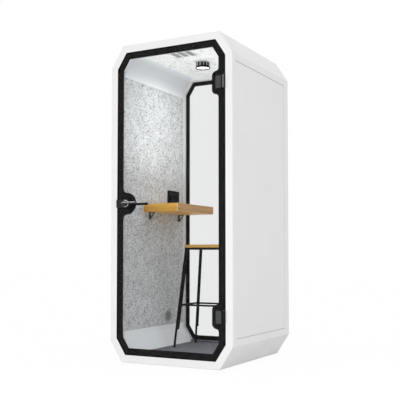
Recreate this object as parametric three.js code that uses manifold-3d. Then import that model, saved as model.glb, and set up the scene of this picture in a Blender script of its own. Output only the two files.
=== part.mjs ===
// Acoustic office pod: a one-person cabin with a glazed door, a fixed rear window,
// a wall desk, a stool, a ceiling lamp and forced ventilation.
// Millimetres. X runs across the pod, Y from the door to the rear window, Z up.
// The origin is on the floor, midway between the sides and between the two glazed faces.

import * as THREE from 'three';
import { mergeVertices } from 'three/addons/utils/BufferGeometryUtils.js';
import Module from 'manifold-3d';

const wasm = await Module();
wasm.setup();

// Envelope
const WIDTH = 990;
const DEPTH = 1000;
const HEIGHT = 2300;
const CHAMFER_ACROSS = 100;
const CHAMFER_UP = 155;

// Fits
const GAP = 0.3; // between pieces that touch
const RUNNING = 0.15; // radial clearance round a pin
const SEAM = 2; // open joint between outer panels
const OVERCUT = 1; // run of a cut past the face it opens, or of a join into its seat

// Wall, roof and floor build-up
const SHELL_THICKNESS = 12;
const PANEL_RECESS = 3;
const PANEL_MARGIN = 205;
const CORE_THICKNESS = 58.4;
const LINING_THICKNESS = 12;
const FELT_MARGIN = 216;
const CEILING_THICKNESS = 12;
const DECK_THICKNESS = 41.4;
const CARPET_THICKNESS = 6;

// End frames and glazing
const FRONT_FRAME_DEPTH = 56;
const REAR_FRAME_DEPTH = 78;
const LIP_REVEAL = 2; // front lip, inside the wall's face
const REAR_LIP_REVEAL = 12;
const GLASS_INSET = 59;
const GLASS_GAP = 5;
const GLASS_THICKNESS = 10;
const FRIT_MARGIN = 0.5;
const DOOR_FRIT_WIDTH = 44.5;
const HINGE_SIDE_FRIT = 51.5;
const REAR_FRIT_WIDTH = 47;
const FRIT_THICKNESS = 0.6;
const SEAL_THICKNESS = 2.5;
const SEAL_LIP_MARGIN = 0.5;
const REAR_SEAL_MARGIN = 2;

// Door hinges
const HINGE_HEIGHT = 86;
const KNUCKLE_COUNT = 3;
const HINGE_MARGIN = 353;
const BARREL_RADIUS = 7.5;
const BARREL_BACKSET = 7;
const BARREL_STANDOFF = 8;
const HINGE_PIN_RADIUS = 3.5;
const PIN_HEAD_THICKNESS = 2.5;
const HINGE_PLATE_EDGE = 24;
const HINGE_PLATE_WIDTH = 41.5;
const HINGE_PLATE_THICKNESS = 7.4;
const HINGE_ARM_THICKNESS = 3.6;
const BACK_PLATE_THICKNESS = 6;
const BOSS_RADIUS = 5;
const BOSS_SPACING = 52;
const BOSS_CLEARANCE = 0.5;
const LEAF_THICKNESS = 3.5;
const LEAF_DEPTH = 53;
const LEAF_WEB = 6;
const PLATE_CORNER = 3;
const HINGE_FRIT_HEIGHT = 206;
const HINGE_FRIT_REACH = 50.5;
const HINGE_FRIT_CORNER = 36;
const HINGE_FRIT_FILLET = 22;

// Lock, levers and latch
const LOCK_HEIGHT = 1141;
const LOCK_BACKSET = 85;
const LOCK_FRIT_RADIUS = 79;
const LOCK_FRIT_SHIFT = 9;
const LOCK_FRIT_FILLET = 32;
const LOCK_GLASS_HOLE = 14;
const CASE_HEIGHT = 57;
const CASE_DEPTH = 24;
const CASE_EDGE = 5;
const CASE_TAIL = 36;
const CASE_CORNER = 4;
const INNER_CASE_CLEARANCE = 9;
const ROSE_RADIUS = 26;
const ROSE_THICKNESS = 6;
const ROSE_BEVEL = 3;
const SPINDLE = 8;
const SPINDLE_INSET = 12;
const NECK_RADIUS = 10;
const LEVER_RADIUS = 9.5;
const LEVER_TIP_RADIUS = 10;
const LEVER_REACH = 127;
const LEVER_STANDOFF = 75;
const LATCH_HEIGHT = 12;
const LATCH_THICKNESS = 10;
const LATCH_BEVEL = 5;
const LATCH_THROW = 12;
const LATCH_SHORT = 2; // nose stops this far from the strike
const LATCH_COVER = 7; // strike in front of the latch
const STRIKE_HEIGHT = 80;
const STRIKE_MARGIN = 2;
const STRIKE_THICKNESS = 2;
const STRIKE_CLEARANCE = 2;

// Desk
const DESK_WIDTH = 299;
const DESK_LENGTH = 577;
const DESK_THICKNESS = 60;
const DESK_TOP = 1160;
const DESK_REAR_MARGIN = 29; // from the rear frame
const DESK_CORNER = 10;
const BRACKET_FRONT_INSET = 80;
const BRACKET_REAR_INSET = 48;
const BRACKET_WIDTH = 12;
const BRACKET_REACH = 46;
const BRACKET_DROP = 56;
const BRACKET_BAR = 5;

// Socket panel on the wall over the desk
const SOCKET_WIDTH = 172;
const SOCKET_HEIGHT = 110;
const SOCKET_THICKNESS = 10;
const SOCKET_CORNER = 6;
const SOCKET_TOP = 1291;
const SOCKET_REAR_MARGIN = 88; // from the rear frame
const SOCKET_BOX_MARGIN = 15;
const SOCKET_BOX_DEPTH = 46;
const OUTLET_RADIUS = 19;
const OUTLET_DEPTH = 7;
const OUTLET_PITCH = 52;
const OUTLET_MARGIN = 32;
const PORT_WIDTH = 10;
const PORT_HEIGHT = 5;
const PORT_DEPTH = 4;
const PORT_PITCH = 22;
const PORT_COUNT = 3;
const PORT_MARGIN = 16;
const ROCKER_WIDTH = 18;
const ROCKER_HEIGHT = 36;
const ROCKER_BACK = 5;
const ROCKER_TILT = 6; // degrees either side of level
const ROCKER_MARGIN = 44;
const ROCKER_POCKET = 8;

// Air inlet through the left wall
const INLET_RADIUS = 50;
const INLET_BORE = 42;
const INLET_FLANGE = 3;
const INLET_COLLAR = 9;
const INLET_COLLAR_WALL = 3;
const INLET_HEIGHT = 285;
const INLET_REAR_MARGIN = 245; // from the rear frame
const LOUVRE_GAP = 6;
const LOUVRE_PITCH = 10;

// Ceiling lamp
const LAMP_RADIUS = 53;
const LAMP_DROP = 46;
const LAMP_NECK = 12;
const LAMP_NECK_RADIUS = 24;
const LAMP_BEZEL = 9;
const LAMP_BEZEL_WALL = 2.5;
const LAMP_FIN_RADIUS = 51;
const LAMP_FIN_ROOT = 34;
const LAMP_FIN_COUNT = 12;
const LAMP_FIN_SHARE = 0.7; // of the round, the rest is open
const DIFFUSER_THICKNESS = 6;
const DIFFUSER_CROWN = 4;
const DIFFUSER_SHOULDER = 10;

// Extractor fan over the ceiling slots
const FAN_SIZE = 140;
const FAN_HEIGHT = 25.4;
const FAN_CORNER = 8;
const FAN_BORE = 66;
const FAN_TIP_GAP = 3;
const FAN_HUB = 23;
const FAN_SHAFT = 3;
const FAN_STRUT_WIDTH = 8;
const FAN_STRUT_THICKNESS = 3;
const FAN_STRUT_COUNT = 4;
const FAN_ROTOR_HEIGHT = 18;
const FAN_BLADE_COUNT = 7;
const FAN_BLADE_CHORD = 27;
const FAN_BLADE_THICKNESS = 1.8;
const FAN_BLADE_SEAT = 2; // blade inside the hub
const FAN_ROOT_PITCH = 38; // degrees
const FAN_TIP_PITCH = 24; // degrees
const FAN_ACROSS = -27;
const FAN_FROM_FRONT = 247;
const VENT_SLOT_LENGTH = 115;
const VENT_SLOT_WIDTH = 30;
const VENT_SLOT_PITCH = 60;
const VENT_SLOT_COUNT = 3;
const EXHAUST_SLOT_WIDTH = 12;
const EXHAUST_SLOT_PITCH = 22;
const EXHAUST_SLOT_COUNT = 5;
const EXHAUST_SLOT_LENGTH = 104;

// Stool
const STOOL_WALL_MARGIN = 382; // from the desk's wall
const STOOL_REAR_MARGIN = 242; // from the rear frame
const SEAT_WIDTH = 330;
const SEAT_DEPTH = 260;
const SEAT_THICKNESS = 23;
const SEAT_TOP = 790; // over the carpet
const SEAT_CORNER = 14;
const SEAT_FRAME_BAR = 24;
const SEAT_FRAME_THICKNESS = 15;
const SEAT_FRAME_INSET = 5;
const LEG_RADIUS = 5.5;
const LEG_INSET = 7; // from the seat frame's outer edge
const LEG_BRACE_RADIUS = 4.5;
const LEG_BRACE_ACROSS = 14; // inward from the main rod
const LEG_BRACE_DEEP = 6.2;
const LEG_BRACE_FOOT = 112; // over the carpet
const LEG_LUG_RADIUS = 6.5;
const LEG_LUG_OVERHANG = 0.33; // of the spacing of the two rods, past each
const LEG_SPLAY_ACROSS = 76;
const LEG_SPLAY_DEEP = 55;
const FOOTREST_HEIGHT = 325; // over the carpet
const FOOTREST_RADIUS = 5.5;

// Facets of round pieces
const ROUND_SIDES = 24;
const LEVER_SIDES = 16;
const ROD_SIDES = 10;
const ARC_STEPS = 8;
const BLADE_STEPS = 6;
const CHORD_STEPS = 2;
const MERGE_DISTANCE = 1e-4;

// Planes and levels that the pieces share
const FRONT = -DEPTH / 2;
const BACK = DEPTH / 2;
const wallThickness = SHELL_THICKNESS + CORE_THICKNESS + LINING_THICKNESS + 2 * GAP;
const liningInset = wallThickness - LINING_THICKNESS;
const lipInset = wallThickness - LIP_REVEAL;
const rearLipInset = wallThickness - REAR_LIP_REVEAL;
const ceilingLevel = HEIGHT - SHELL_THICKNESS - FAN_HEIGHT - CEILING_THICKNESS - 2 * GAP;
const loftLow = ceilingLevel + CEILING_THICKNESS + GAP;
const loftHigh = HEIGHT - SHELL_THICKNESS - GAP;
const floorLevel = SHELL_THICKNESS + DECK_THICKNESS + CARPET_THICKNESS + 2 * GAP;
const frontFrameBack = FRONT + FRONT_FRAME_DEPTH;
const rearFrameFront = BACK - REAR_FRAME_DEPTH;
const wallStart = frontFrameBack + GAP;
const wallEnd = rearFrameFront - GAP;
const wallFace = WIDTH / 2 - wallThickness;
const coreOuter = WIDTH / 2 - SHELL_THICKNESS - GAP;
const coreInner = coreOuter - CORE_THICKNESS;
const fritStart = GLASS_THICKNESS + GAP;
const fritEnd = fritStart + FRIT_THICKNESS;
const sealStart = fritEnd + GAP;
const lipStart = sealStart + SEAL_THICKNESS + GAP;
const rebateInset = GLASS_INSET - GLASS_GAP;
const glassEdge = WIDTH / 2 - GLASS_INSET;
const doorFritInner = GLASS_INSET + DOOR_FRIT_WIDTH;
const rearFritInner = GLASS_INSET + REAR_FRIT_WIDTH;
const lipEdge = WIDTH / 2 - lipInset;

// Finishes as colour, roughness and metalness
const WHITE_SHELL = { color: 0xeeeeee, roughness: 0.42, metalness: 0 };
const WHITE_LINING = { color: 0xdfe2e6, roughness: 0.55, metalness: 0 };
const CEILING_WHITE = { color: 0xe6e8e8, roughness: 0.7, metalness: 0 };
const CORE_GREY = { color: 0x8d9094, roughness: 0.95, metalness: 0 };
const FELT_GREY = { color: 0xb4b6b8, roughness: 0.95, metalness: 0 };
const CARPET_GREY = { color: 0x5a5c62, roughness: 0.98, metalness: 0 };
const DECK_WOOD = { color: 0xa98a5e, roughness: 0.8, metalness: 0 };
const CLEAR_GLASS = {
  color: 0xf4f8f8, roughness: 0.03, metalness: 0, transparent: true, opacity: 0.18,
};
const FRIT_BLACK = { color: 0x202020, roughness: 0.35, metalness: 0 };
const SEAL_BLACK = { color: 0x0c0c0c, roughness: 0.8, metalness: 0 };
const HINGE_GREY = { color: 0x55565a, roughness: 0.35, metalness: 0.8 };
const LOCK_GREY = { color: 0x38393b, roughness: 0.4, metalness: 0.5 };
const CHROME = { color: 0xd8dadc, roughness: 0.12, metalness: 1 };
const LEVER_BLACK = { color: 0x141414, roughness: 0.3, metalness: 0.2 };
const STEEL = { color: 0xa8abb0, roughness: 0.35, metalness: 1 };
const WOOD = { color: 0xbe923f, roughness: 0.5, metalness: 0 };
const BLACK_METAL = { color: 0x1c1c1d, roughness: 0.5, metalness: 0.4 };
const BLACK_PLASTIC = { color: 0x1a1a1b, roughness: 0.45, metalness: 0 };
const GREY_PLASTIC = { color: 0x7d8282, roughness: 0.6, metalness: 0 };
const OPAL = { color: 0xffffff, roughness: 0.4, metalness: 0 };

// Group that holds every piece, and the one call that adds a piece to it
const pod = new THREE.Group();

function addPiece(name, geometry, look, parent = pod) {
  const mesh = new THREE.Mesh(geometry, new THREE.MeshStandardMaterial(look));
  mesh.name = name;
  parent.add(mesh);
}

// Joins and cuts of closed geometries
function toSolid(geometry) {
  const bare = geometry.clone();
  bare.deleteAttribute('normal');
  bare.deleteAttribute('uv');
  const merged = mergeVertices(bare, MERGE_DISTANCE);
  return new wasm.Manifold(new wasm.Mesh({
    numProp: 3,
    vertProperties: Float32Array.from(merged.attributes.position.array),
    triVerts: Uint32Array.from(merged.index.array),
  }));
}

function toGeometry(solid) {
  const mesh = solid.getMesh();
  const geometry = new THREE.BufferGeometry();
  geometry.setAttribute('position', new THREE.BufferAttribute(mesh.vertProperties, 3));
  geometry.setIndex(new THREE.BufferAttribute(mesh.triVerts, 1));
  geometry.computeVertexNormals();
  return geometry;
}

function cut(base, ...tools) {
  const start = toSolid(base);
  return toGeometry(tools.reduce((solid, tool) => solid.subtract(toSolid(tool)), start));
}

function join(first, ...others) {
  const start = toSolid(first);
  return toGeometry(others.reduce((solid, other) => solid.add(toSolid(other)), start));
}

function common(first, second) {
  return toGeometry(toSolid(first).intersect(toSolid(second)));
}

// Basic forms placed by their limits
function box(x0, x1, y0, y1, z0, z1) {
  const geometry = new THREE.BoxGeometry(x1 - x0, y1 - y0, z1 - z0);
  return geometry.translate((x0 + x1) / 2, (y0 + y1) / 2, (z0 + z1) / 2);
}

function rod(from, to, radius, sides = ROUND_SIDES) {
  const start = new THREE.Vector3(...from);
  const end = new THREE.Vector3(...to);
  const along = end.clone().sub(start);
  const geometry = new THREE.CylinderGeometry(radius, radius, along.length(), sides);
  const turn = new THREE.Quaternion();
  turn.setFromUnitVectors(new THREE.Vector3(0, 1, 0), along.clone().normalize());
  geometry.applyQuaternion(turn);
  const middle = start.add(end).multiplyScalar(0.5);
  return geometry.translate(middle.x, middle.y, middle.z);
}

function polygon(points) {
  return new THREE.Shape(points.map(([across, up]) => new THREE.Vector2(across, up)));
}

function roundedRectangle(x0, x1, y0, y1, radius) {
  const shape = new THREE.Shape();
  shape.absarc(x1 - radius, y1 - radius, radius, 0, Math.PI / 2);
  shape.absarc(x0 + radius, y1 - radius, radius, Math.PI / 2, Math.PI);
  shape.absarc(x0 + radius, y0 + radius, radius, Math.PI, Math.PI * 1.5);
  shape.absarc(x1 - radius, y0 + radius, radius, Math.PI * 1.5, Math.PI * 2);
  shape.closePath();
  return shape;
}

// An outline of X and Z, drawn out along Y
function extrudeY(shape, start, end) {
  const options = { depth: end - start, bevelEnabled: false, curveSegments: ARC_STEPS };
  const geometry = new THREE.ExtrudeGeometry(shape, options);
  geometry.rotateX(Math.PI / 2);
  return geometry.translate(0, end, 0);
}

// An outline of Y and Z, drawn out along X
function extrudeX(shape, start, end) {
  const options = { depth: end - start, bevelEnabled: false, curveSegments: ARC_STEPS };
  const geometry = new THREE.ExtrudeGeometry(shape, options);
  const xAxis = new THREE.Vector3(1, 0, 0);
  const yAxis = new THREE.Vector3(0, 1, 0);
  const zAxis = new THREE.Vector3(0, 0, 1);
  geometry.applyMatrix4(new THREE.Matrix4().makeBasis(yAxis, zAxis, xAxis));
  return geometry.translate(start, 0, 0);
}

// An outline of X and Y, drawn out along Z
function extrudeZ(shape, start, end) {
  const options = { depth: end - start, bevelEnabled: false, curveSegments: ARC_STEPS };
  const geometry = new THREE.ExtrudeGeometry(shape, options);
  return geometry.translate(0, 0, start);
}

// The pod's eight-sided outline, pulled in by an inset from the outer faces
const chamferLength = Math.hypot(CHAMFER_ACROSS, CHAMFER_UP);
const chamferNormalX = CHAMFER_UP / chamferLength;
const chamferNormalZ = CHAMFER_ACROSS / chamferLength;
const chamferReach = chamferNormalX * WIDTH / 2 + chamferNormalZ * (HEIGHT - CHAMFER_UP);

function chamferX(inset, level) {
  return (chamferReach - inset - chamferNormalZ * level) / chamferNormalX;
}

function sideCorner(inset) {
  return (chamferReach - inset - chamferNormalX * (WIDTH / 2 - inset)) / chamferNormalZ;
}

function octagon(inset) {
  const side = WIDTH / 2 - inset;
  const top = HEIGHT - inset;
  const brow = chamferX(inset, top);
  const shoulder = sideCorner(inset);
  const heel = HEIGHT - shoulder;
  return polygon([
    [-brow, inset], [brow, inset], [side, heel], [side, shoulder],
    [brow, top], [-brow, top], [-side, shoulder], [-side, heel],
  ]);
}

function octagonRing(outerInset, innerInset) {
  const shape = octagon(outerInset);
  shape.holes.push(octagon(innerInset));
  return shape;
}

// Mirror images of an outline, side to side and roof to floor
function mirrorSide(points) {
  return points.map(([across, up]) => [-across, up]);
}

function mirrorLevel(points) {
  return points.map(([across, up]) => [across, HEIGHT - up]);
}

// Places that several pieces share: hinges, lock, inlet, socket panel and fan
const hingeLevels = { lower: HINGE_MARGIN, upper: HEIGHT - HINGE_MARGIN };
const hingeX = glassEdge - BARREL_BACKSET;
const hingeY = FRONT - BARREL_STANDOFF;
const hingePlateRight = glassEdge - HINGE_PLATE_EDGE;
const hingePlateLeft = hingePlateRight - HINGE_PLATE_WIDTH;
const bossX = (hingePlateLeft + hingePlateRight) / 2;
const leafLeft = glassEdge + (GLASS_GAP - LEAF_THICKNESS) / 2;
const leafRight = leafLeft + LEAF_THICKNESS;
const lockX = LOCK_BACKSET - glassEdge;
const spindleHole = SPINDLE * Math.SQRT1_2 + 2 * GAP;
const innerCaseFront = FRONT + fritEnd + GAP;
const latchY = FRONT + lipStart + LATCH_COVER + LATCH_THICKNESS / 2;
const strikeStart = FRONT + lipStart + STRIKE_MARGIN;
const strikeEnd = frontFrameBack - STRIKE_MARGIN;
const inletY = rearFrameFront - INLET_REAR_MARGIN;
const fanY = FRONT + FAN_FROM_FRONT;
const socketRear = rearFrameFront - SOCKET_REAR_MARGIN;
const socketFront = socketRear - SOCKET_WIDTH;
const socketLow = SOCKET_TOP - SOCKET_HEIGHT;
const socketMiddle = SOCKET_TOP - SOCKET_HEIGHT / 2;

function inletBore(radius, x0, x1) {
  return rod([x0, inletY, INLET_HEIGHT], [x1, inletY, INLET_HEIGHT], radius);
}

function socketRecess(x0, x1, margin) {
  const y0 = socketFront + margin;
  const y1 = socketRear - margin;
  return box(x0, x1, y0, y1, socketLow + margin, SOCKET_TOP - margin);
}

// Outer shell: end frames, roof, base and side panels
function endFrame(face, inward, depth, inset) {
  const frame = inward > 0
    ? extrudeY(octagonRing(0, inset), face, face + depth)
    : extrudeY(octagonRing(0, inset), face - depth, face);
  const ends = [face - inward * GLASS_THICKNESS, face + inward * lipStart];
  const rebate = extrudeY(octagon(rebateInset), Math.min(...ends), Math.max(...ends));
  return cut(frame, rebate);
}

function leafSlot(level) {
  const half = HINGE_HEIGHT / 2 + GAP;
  const y1 = hingeY - LEAF_WEB / 2 + LEAF_DEPTH + GAP;
  const y0 = FRONT + lipStart - OVERCUT;
  return box(leafLeft - GAP, leafRight + GAP, y0, y1, level - half, level + half);
}

function strikeSeat() {
  const half = STRIKE_HEIGHT / 2 + GAP;
  const depth = STRIKE_THICKNESS + GAP;
  return box(-lipEdge - depth, -lipEdge + OVERCUT, strikeStart - GAP, strikeEnd + GAP,
    LOCK_HEIGHT - half, LOCK_HEIGHT + half);
}

function strikePocket(depth) {
  const halfY = LATCH_THICKNESS / 2 + STRIKE_CLEARANCE;
  const halfZ = LATCH_HEIGHT / 2 + STRIKE_CLEARANCE;
  const x0 = -lipEdge - depth;
  return box(x0, -lipEdge + OVERCUT, latchY - halfY, latchY + halfY,
    LOCK_HEIGHT - halfZ, LOCK_HEIGHT + halfZ);
}

function cappedShell() {
  const side = WIDTH / 2;
  const inner = side - SHELL_THICKNESS;
  const brow = chamferX(0, HEIGHT);
  const innerBrow = chamferX(SHELL_THICKNESS, HEIGHT - SHELL_THICKNESS);
  const foot = HEIGHT - PANEL_MARGIN;
  const innerShoulder = sideCorner(SHELL_THICKNESS);
  const half = [
    [side, foot], [side, sideCorner(0)], [brow, HEIGHT],
  ];
  const halfInner = [
    [inner, foot], [inner, innerShoulder], [innerBrow, HEIGHT - SHELL_THICKNESS],
  ];
  const outer = [...half, ...mirrorSide(half).reverse()];
  return [...outer, ...mirrorSide(halfInner), ...halfInner.reverse()];
}

function buildShell() {
  const latchPocket = strikePocket(STRIKE_THICKNESS + LATCH_THROW + STRIKE_CLEARANCE);
  const slots = Object.values(hingeLevels).map(leafSlot);
  const frontFrame = endFrame(FRONT, 1, FRONT_FRAME_DEPTH, lipInset);
  addPiece('front_frame', cut(frontFrame, ...slots, strikeSeat(), latchPocket), WHITE_SHELL);
  addPiece('rear_frame', endFrame(BACK, -1, REAR_FRAME_DEPTH, rearLipInset), WHITE_SHELL);

  const cap = cappedShell();
  const shellEnd = rearFrameFront - SEAM;
  const exhaust = [];
  for (let i = 0; i < EXHAUST_SLOT_COUNT; i += 1) {
    const x = FAN_ACROSS + (i - (EXHAUST_SLOT_COUNT - 1) / 2) * EXHAUST_SLOT_PITCH;
    const half = EXHAUST_SLOT_WIDTH / 2;
    const reach = EXHAUST_SLOT_LENGTH / 2;
    exhaust.push(box(x - half, x + half, fanY - reach, fanY + reach, loftHigh, HEIGHT + OVERCUT));
  }
  addPiece('roof_shell', cut(extrudeY(polygon(cap), wallStart, shellEnd), ...exhaust), WHITE_SHELL);
  addPiece('base_shell', extrudeY(polygon(mirrorLevel(cap)), wallStart, shellEnd), WHITE_SHELL);

  const panelOuter = WIDTH / 2 - PANEL_RECESS;
  const panelInner = WIDTH / 2 - SHELL_THICKNESS;
  const panelLow = PANEL_MARGIN + SEAM;
  const panelHigh = HEIGHT - PANEL_MARGIN - SEAM;
  const panelStart = frontFrameBack + SEAM;
  const left = box(-panelOuter, -panelInner, panelStart, shellEnd, panelLow, panelHigh);
  const airHole = inletBore(INLET_BORE, -WIDTH / 2, -coreInner);
  addPiece('left_side_panel', cut(left, airHole), WHITE_SHELL);
  addPiece('right_side_panel', box(panelInner, panelOuter, panelStart, shellEnd, panelLow, panelHigh),
    WHITE_SHELL);
}

// Acoustic cores inside the walls and roof
function buildCores() {
  const low = HEIGHT - sideCorner(liningInset);
  const high = sideCorner(liningInset);
  const left = box(-coreOuter, -coreInner, wallStart, wallEnd, low, high);
  const pocketEnd = -wallFace - SOCKET_BOX_DEPTH - GAP;
  const boxPocket = socketRecess(pocketEnd, -coreInner + OVERCUT, SOCKET_BOX_MARGIN - GAP);
  const airHole = inletBore(INLET_BORE, -WIDTH / 2, -wallFace);
  addPiece('left_wall_core', cut(left, airHole, boxPocket), CORE_GREY);
  addPiece('right_wall_core', box(coreInner, coreOuter, wallStart, wallEnd, low, high), CORE_GREY);

  const half = chamferX(liningInset, ceilingLevel);
  const fanHalf = FAN_SIZE / 2 + GAP;
  const fanPocket = box(FAN_ACROSS - fanHalf, FAN_ACROSS + fanHalf, fanY - fanHalf, fanY + fanHalf,
    ceilingLevel, HEIGHT);
  const roofCore = box(-half, half, wallStart, wallEnd, loftLow, loftHigh);
  addPiece('roof_core', cut(roofCore, fanPocket), CORE_GREY);
}

// Inner lining: felt walls, white coves and skirts, ceiling, deck and carpet
function bentLining(edgeLevel, endLevel) {
  const outer = WIDTH / 2 - liningInset;
  return [
    [wallFace, edgeLevel],
    [wallFace, sideCorner(wallThickness)],
    [chamferX(wallThickness, endLevel), endLevel],
    [chamferX(liningInset, endLevel), endLevel],
    [outer, sideCorner(liningInset)],
    [outer, edgeLevel],
  ];
}

function buildLining() {
  const liningBack = wallFace + LINING_THICKNESS;
  const feltLow = FELT_MARGIN;
  const feltHigh = HEIGHT - FELT_MARGIN;
  const left = box(-liningBack, -wallFace, wallStart, wallEnd, feltLow, feltHigh);
  const airHole = inletBore(INLET_BORE, -liningBack - OVERCUT, -wallFace + OVERCUT);
  const boxHole = socketRecess(-liningBack - OVERCUT, -wallFace + OVERCUT, SOCKET_BOX_MARGIN - GAP);
  addPiece('left_felt_panel', cut(left, airHole, boxHole), FELT_GREY);
  addPiece('right_felt_panel', box(wallFace, liningBack, wallStart, wallEnd, feltLow, feltHigh),
    FELT_GREY);

  const cove = bentLining(feltHigh + GAP, ceilingLevel - GAP);
  const skirt = mirrorLevel(bentLining(HEIGHT - feltLow + GAP, HEIGHT - floorLevel - GAP));
  addPiece('right_cove', extrudeY(polygon(cove), wallStart, wallEnd), WHITE_LINING);
  addPiece('left_cove', extrudeY(polygon(mirrorSide(cove)), wallStart, wallEnd), WHITE_LINING);
  addPiece('right_skirt', extrudeY(polygon(skirt), wallStart, wallEnd), WHITE_LINING);
  addPiece('left_skirt', extrudeY(polygon(mirrorSide(skirt)), wallStart, wallEnd), WHITE_LINING);

  const ceilingHalf = chamferX(liningInset, ceilingLevel);
  const ceilingTop = ceilingLevel + CEILING_THICKNESS;
  const ceiling = box(-ceilingHalf, ceilingHalf, wallStart, wallEnd, ceilingLevel, ceilingTop);
  const slots = [];
  for (let i = 0; i < VENT_SLOT_COUNT; i += 1) {
    const x = FAN_ACROSS + (i - (VENT_SLOT_COUNT - 1) / 2) * VENT_SLOT_PITCH;
    const half = VENT_SLOT_WIDTH / 2;
    const reach = VENT_SLOT_LENGTH / 2;
    slots.push(box(x - half, x + half, fanY - reach, fanY + reach,
      ceilingLevel - OVERCUT, ceilingTop + OVERCUT));
  }
  addPiece('ceiling_panel', cut(ceiling, ...slots), CEILING_WHITE);

  const floorHalf = chamferX(liningInset, HEIGHT - floorLevel);
  const deckLow = SHELL_THICKNESS + GAP;
  const deckHigh = deckLow + DECK_THICKNESS;
  addPiece('floor_deck', box(-floorHalf, floorHalf, wallStart, wallEnd, deckLow, deckHigh), DECK_WOOD);
  addPiece('floor_carpet', box(-floorHalf, floorHalf, wallStart, wallEnd, deckHigh + GAP, floorLevel),
    CARPET_GREY);
}

// Black printed border: bumps of tangent arcs widen it round the hinges and the lock
function hingeBump(path, edge, level) {
  const sum = HINGE_FRIT_CORNER + HINGE_FRIT_FILLET;
  const angle = Math.acos(1 - HINGE_FRIT_REACH / sum);
  const rise = sum * Math.sin(angle);
  const low = level - HINGE_FRIT_HEIGHT / 2;
  const high = level + HINGE_FRIT_HEIGHT / 2;
  const filletX = edge - HINGE_FRIT_FILLET;
  const cornerX = edge - HINGE_FRIT_REACH + HINGE_FRIT_CORNER;
  path.absarc(filletX, low, HINGE_FRIT_FILLET, 0, angle, false);
  path.absarc(cornerX, low + rise, HINGE_FRIT_CORNER, Math.PI + angle, Math.PI, true);
  path.absarc(cornerX, high - rise, HINGE_FRIT_CORNER, Math.PI, Math.PI - angle, true);
  path.absarc(filletX, high, HINGE_FRIT_FILLET, -angle, 0, false);
}

function lockBump(path, edge) {
  const centreX = lockX - LOCK_FRIT_SHIFT;
  const filletX = edge + LOCK_FRIT_FILLET;
  const sum = LOCK_FRIT_RADIUS + LOCK_FRIT_FILLET;
  const rise = Math.sqrt(sum * sum - (filletX - centreX) ** 2);
  const angle = Math.atan2(rise, filletX - centreX);
  path.absarc(filletX, LOCK_HEIGHT + rise, LOCK_FRIT_FILLET, Math.PI, Math.PI + angle, false);
  path.absarc(centreX, LOCK_HEIGHT, LOCK_FRIT_RADIUS, angle, -angle, true);
  path.absarc(filletX, LOCK_HEIGHT - rise, LOCK_FRIT_FILLET, Math.PI - angle, Math.PI, false);
}

function doorBorderOpening() {
  const side = WIDTH / 2 - doorFritInner;
  const hingeSide = glassEdge - HINGE_SIDE_FRIT;
  const top = HEIGHT - doorFritInner;
  const brow = chamferX(doorFritInner, top);
  const shoulder = sideCorner(doorFritInner);
  const steepness = (top - shoulder) / (side - brow);
  const hingeShoulder = shoulder + (side - hingeSide) * steepness;
  const path = new THREE.Path();
  path.moveTo(-brow, doorFritInner);
  path.lineTo(brow, doorFritInner);
  path.lineTo(hingeSide, HEIGHT - hingeShoulder);
  hingeBump(path, hingeSide, hingeLevels.lower);
  hingeBump(path, hingeSide, hingeLevels.upper);
  path.lineTo(hingeSide, hingeShoulder);
  path.lineTo(brow, top);
  path.lineTo(-brow, top);
  path.lineTo(-side, shoulder);
  lockBump(path, -side);
  path.lineTo(-side, HEIGHT - shoulder);
  path.closePath();
  return path;
}

// Glass, printed border and seal of the door and of the rear window
function glazingHoles(y0, y1) {
  const holes = [rod([lockX, y0, LOCK_HEIGHT], [lockX, y1, LOCK_HEIGHT], LOCK_GLASS_HOLE)];
  for (const level of Object.values(hingeLevels)) {
    for (const side of [-1, 1]) {
      const z = level + side * BOSS_SPACING / 2;
      holes.push(rod([bossX, y0, z], [bossX, y1, z], BOSS_RADIUS + BOSS_CLEARANCE));
    }
  }
  return holes;
}

function buildGlazing() {
  const holes = glazingHoles(FRONT - OVERCUT, FRONT + lipStart);
  const pane = extrudeY(octagon(GLASS_INSET), FRONT, FRONT + GLASS_THICKNESS);
  addPiece('door_glass', cut(pane, ...holes), CLEAR_GLASS);
  const doorFrit = octagon(GLASS_INSET + FRIT_MARGIN);
  doorFrit.holes.push(doorBorderOpening());
  const border = extrudeY(doorFrit, FRONT + fritStart, FRONT + fritEnd);
  addPiece('door_border', cut(border, ...holes), FRIT_BLACK);

  // The seal keeps clear of the arc that the door's hinge edge swings through
  const swing = Math.hypot(BARREL_BACKSET, BARREL_STANDOFF + fritEnd) + GAP;
  const reach = BARREL_STANDOFF + sealStart;
  const sweep = Math.sqrt(Math.max(swing * swing - reach * reach, 0));
  const sealRing = octagonRing(GLASS_INSET + BARREL_BACKSET + sweep, lipInset - SEAL_LIP_MARGIN);
  const sealEnd = sealStart + SEAL_THICKNESS;
  addPiece('door_seal', extrudeY(sealRing, FRONT + sealStart, FRONT + sealEnd), SEAL_BLACK);

  addPiece('rear_glass', extrudeY(octagon(GLASS_INSET), BACK - GLASS_THICKNESS, BACK), CLEAR_GLASS);
  const rearFrit = octagonRing(GLASS_INSET + FRIT_MARGIN, rearFritInner);
  addPiece('rear_border', extrudeY(rearFrit, BACK - fritEnd, BACK - fritStart), FRIT_BLACK);
  const rearRing = octagonRing(GLASS_INSET + REAR_SEAL_MARGIN, rearLipInset - SEAL_LIP_MARGIN);
  addPiece('rear_seal', extrudeY(rearRing, BACK - sealEnd, BACK - sealStart), SEAL_BLACK);
}

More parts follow.
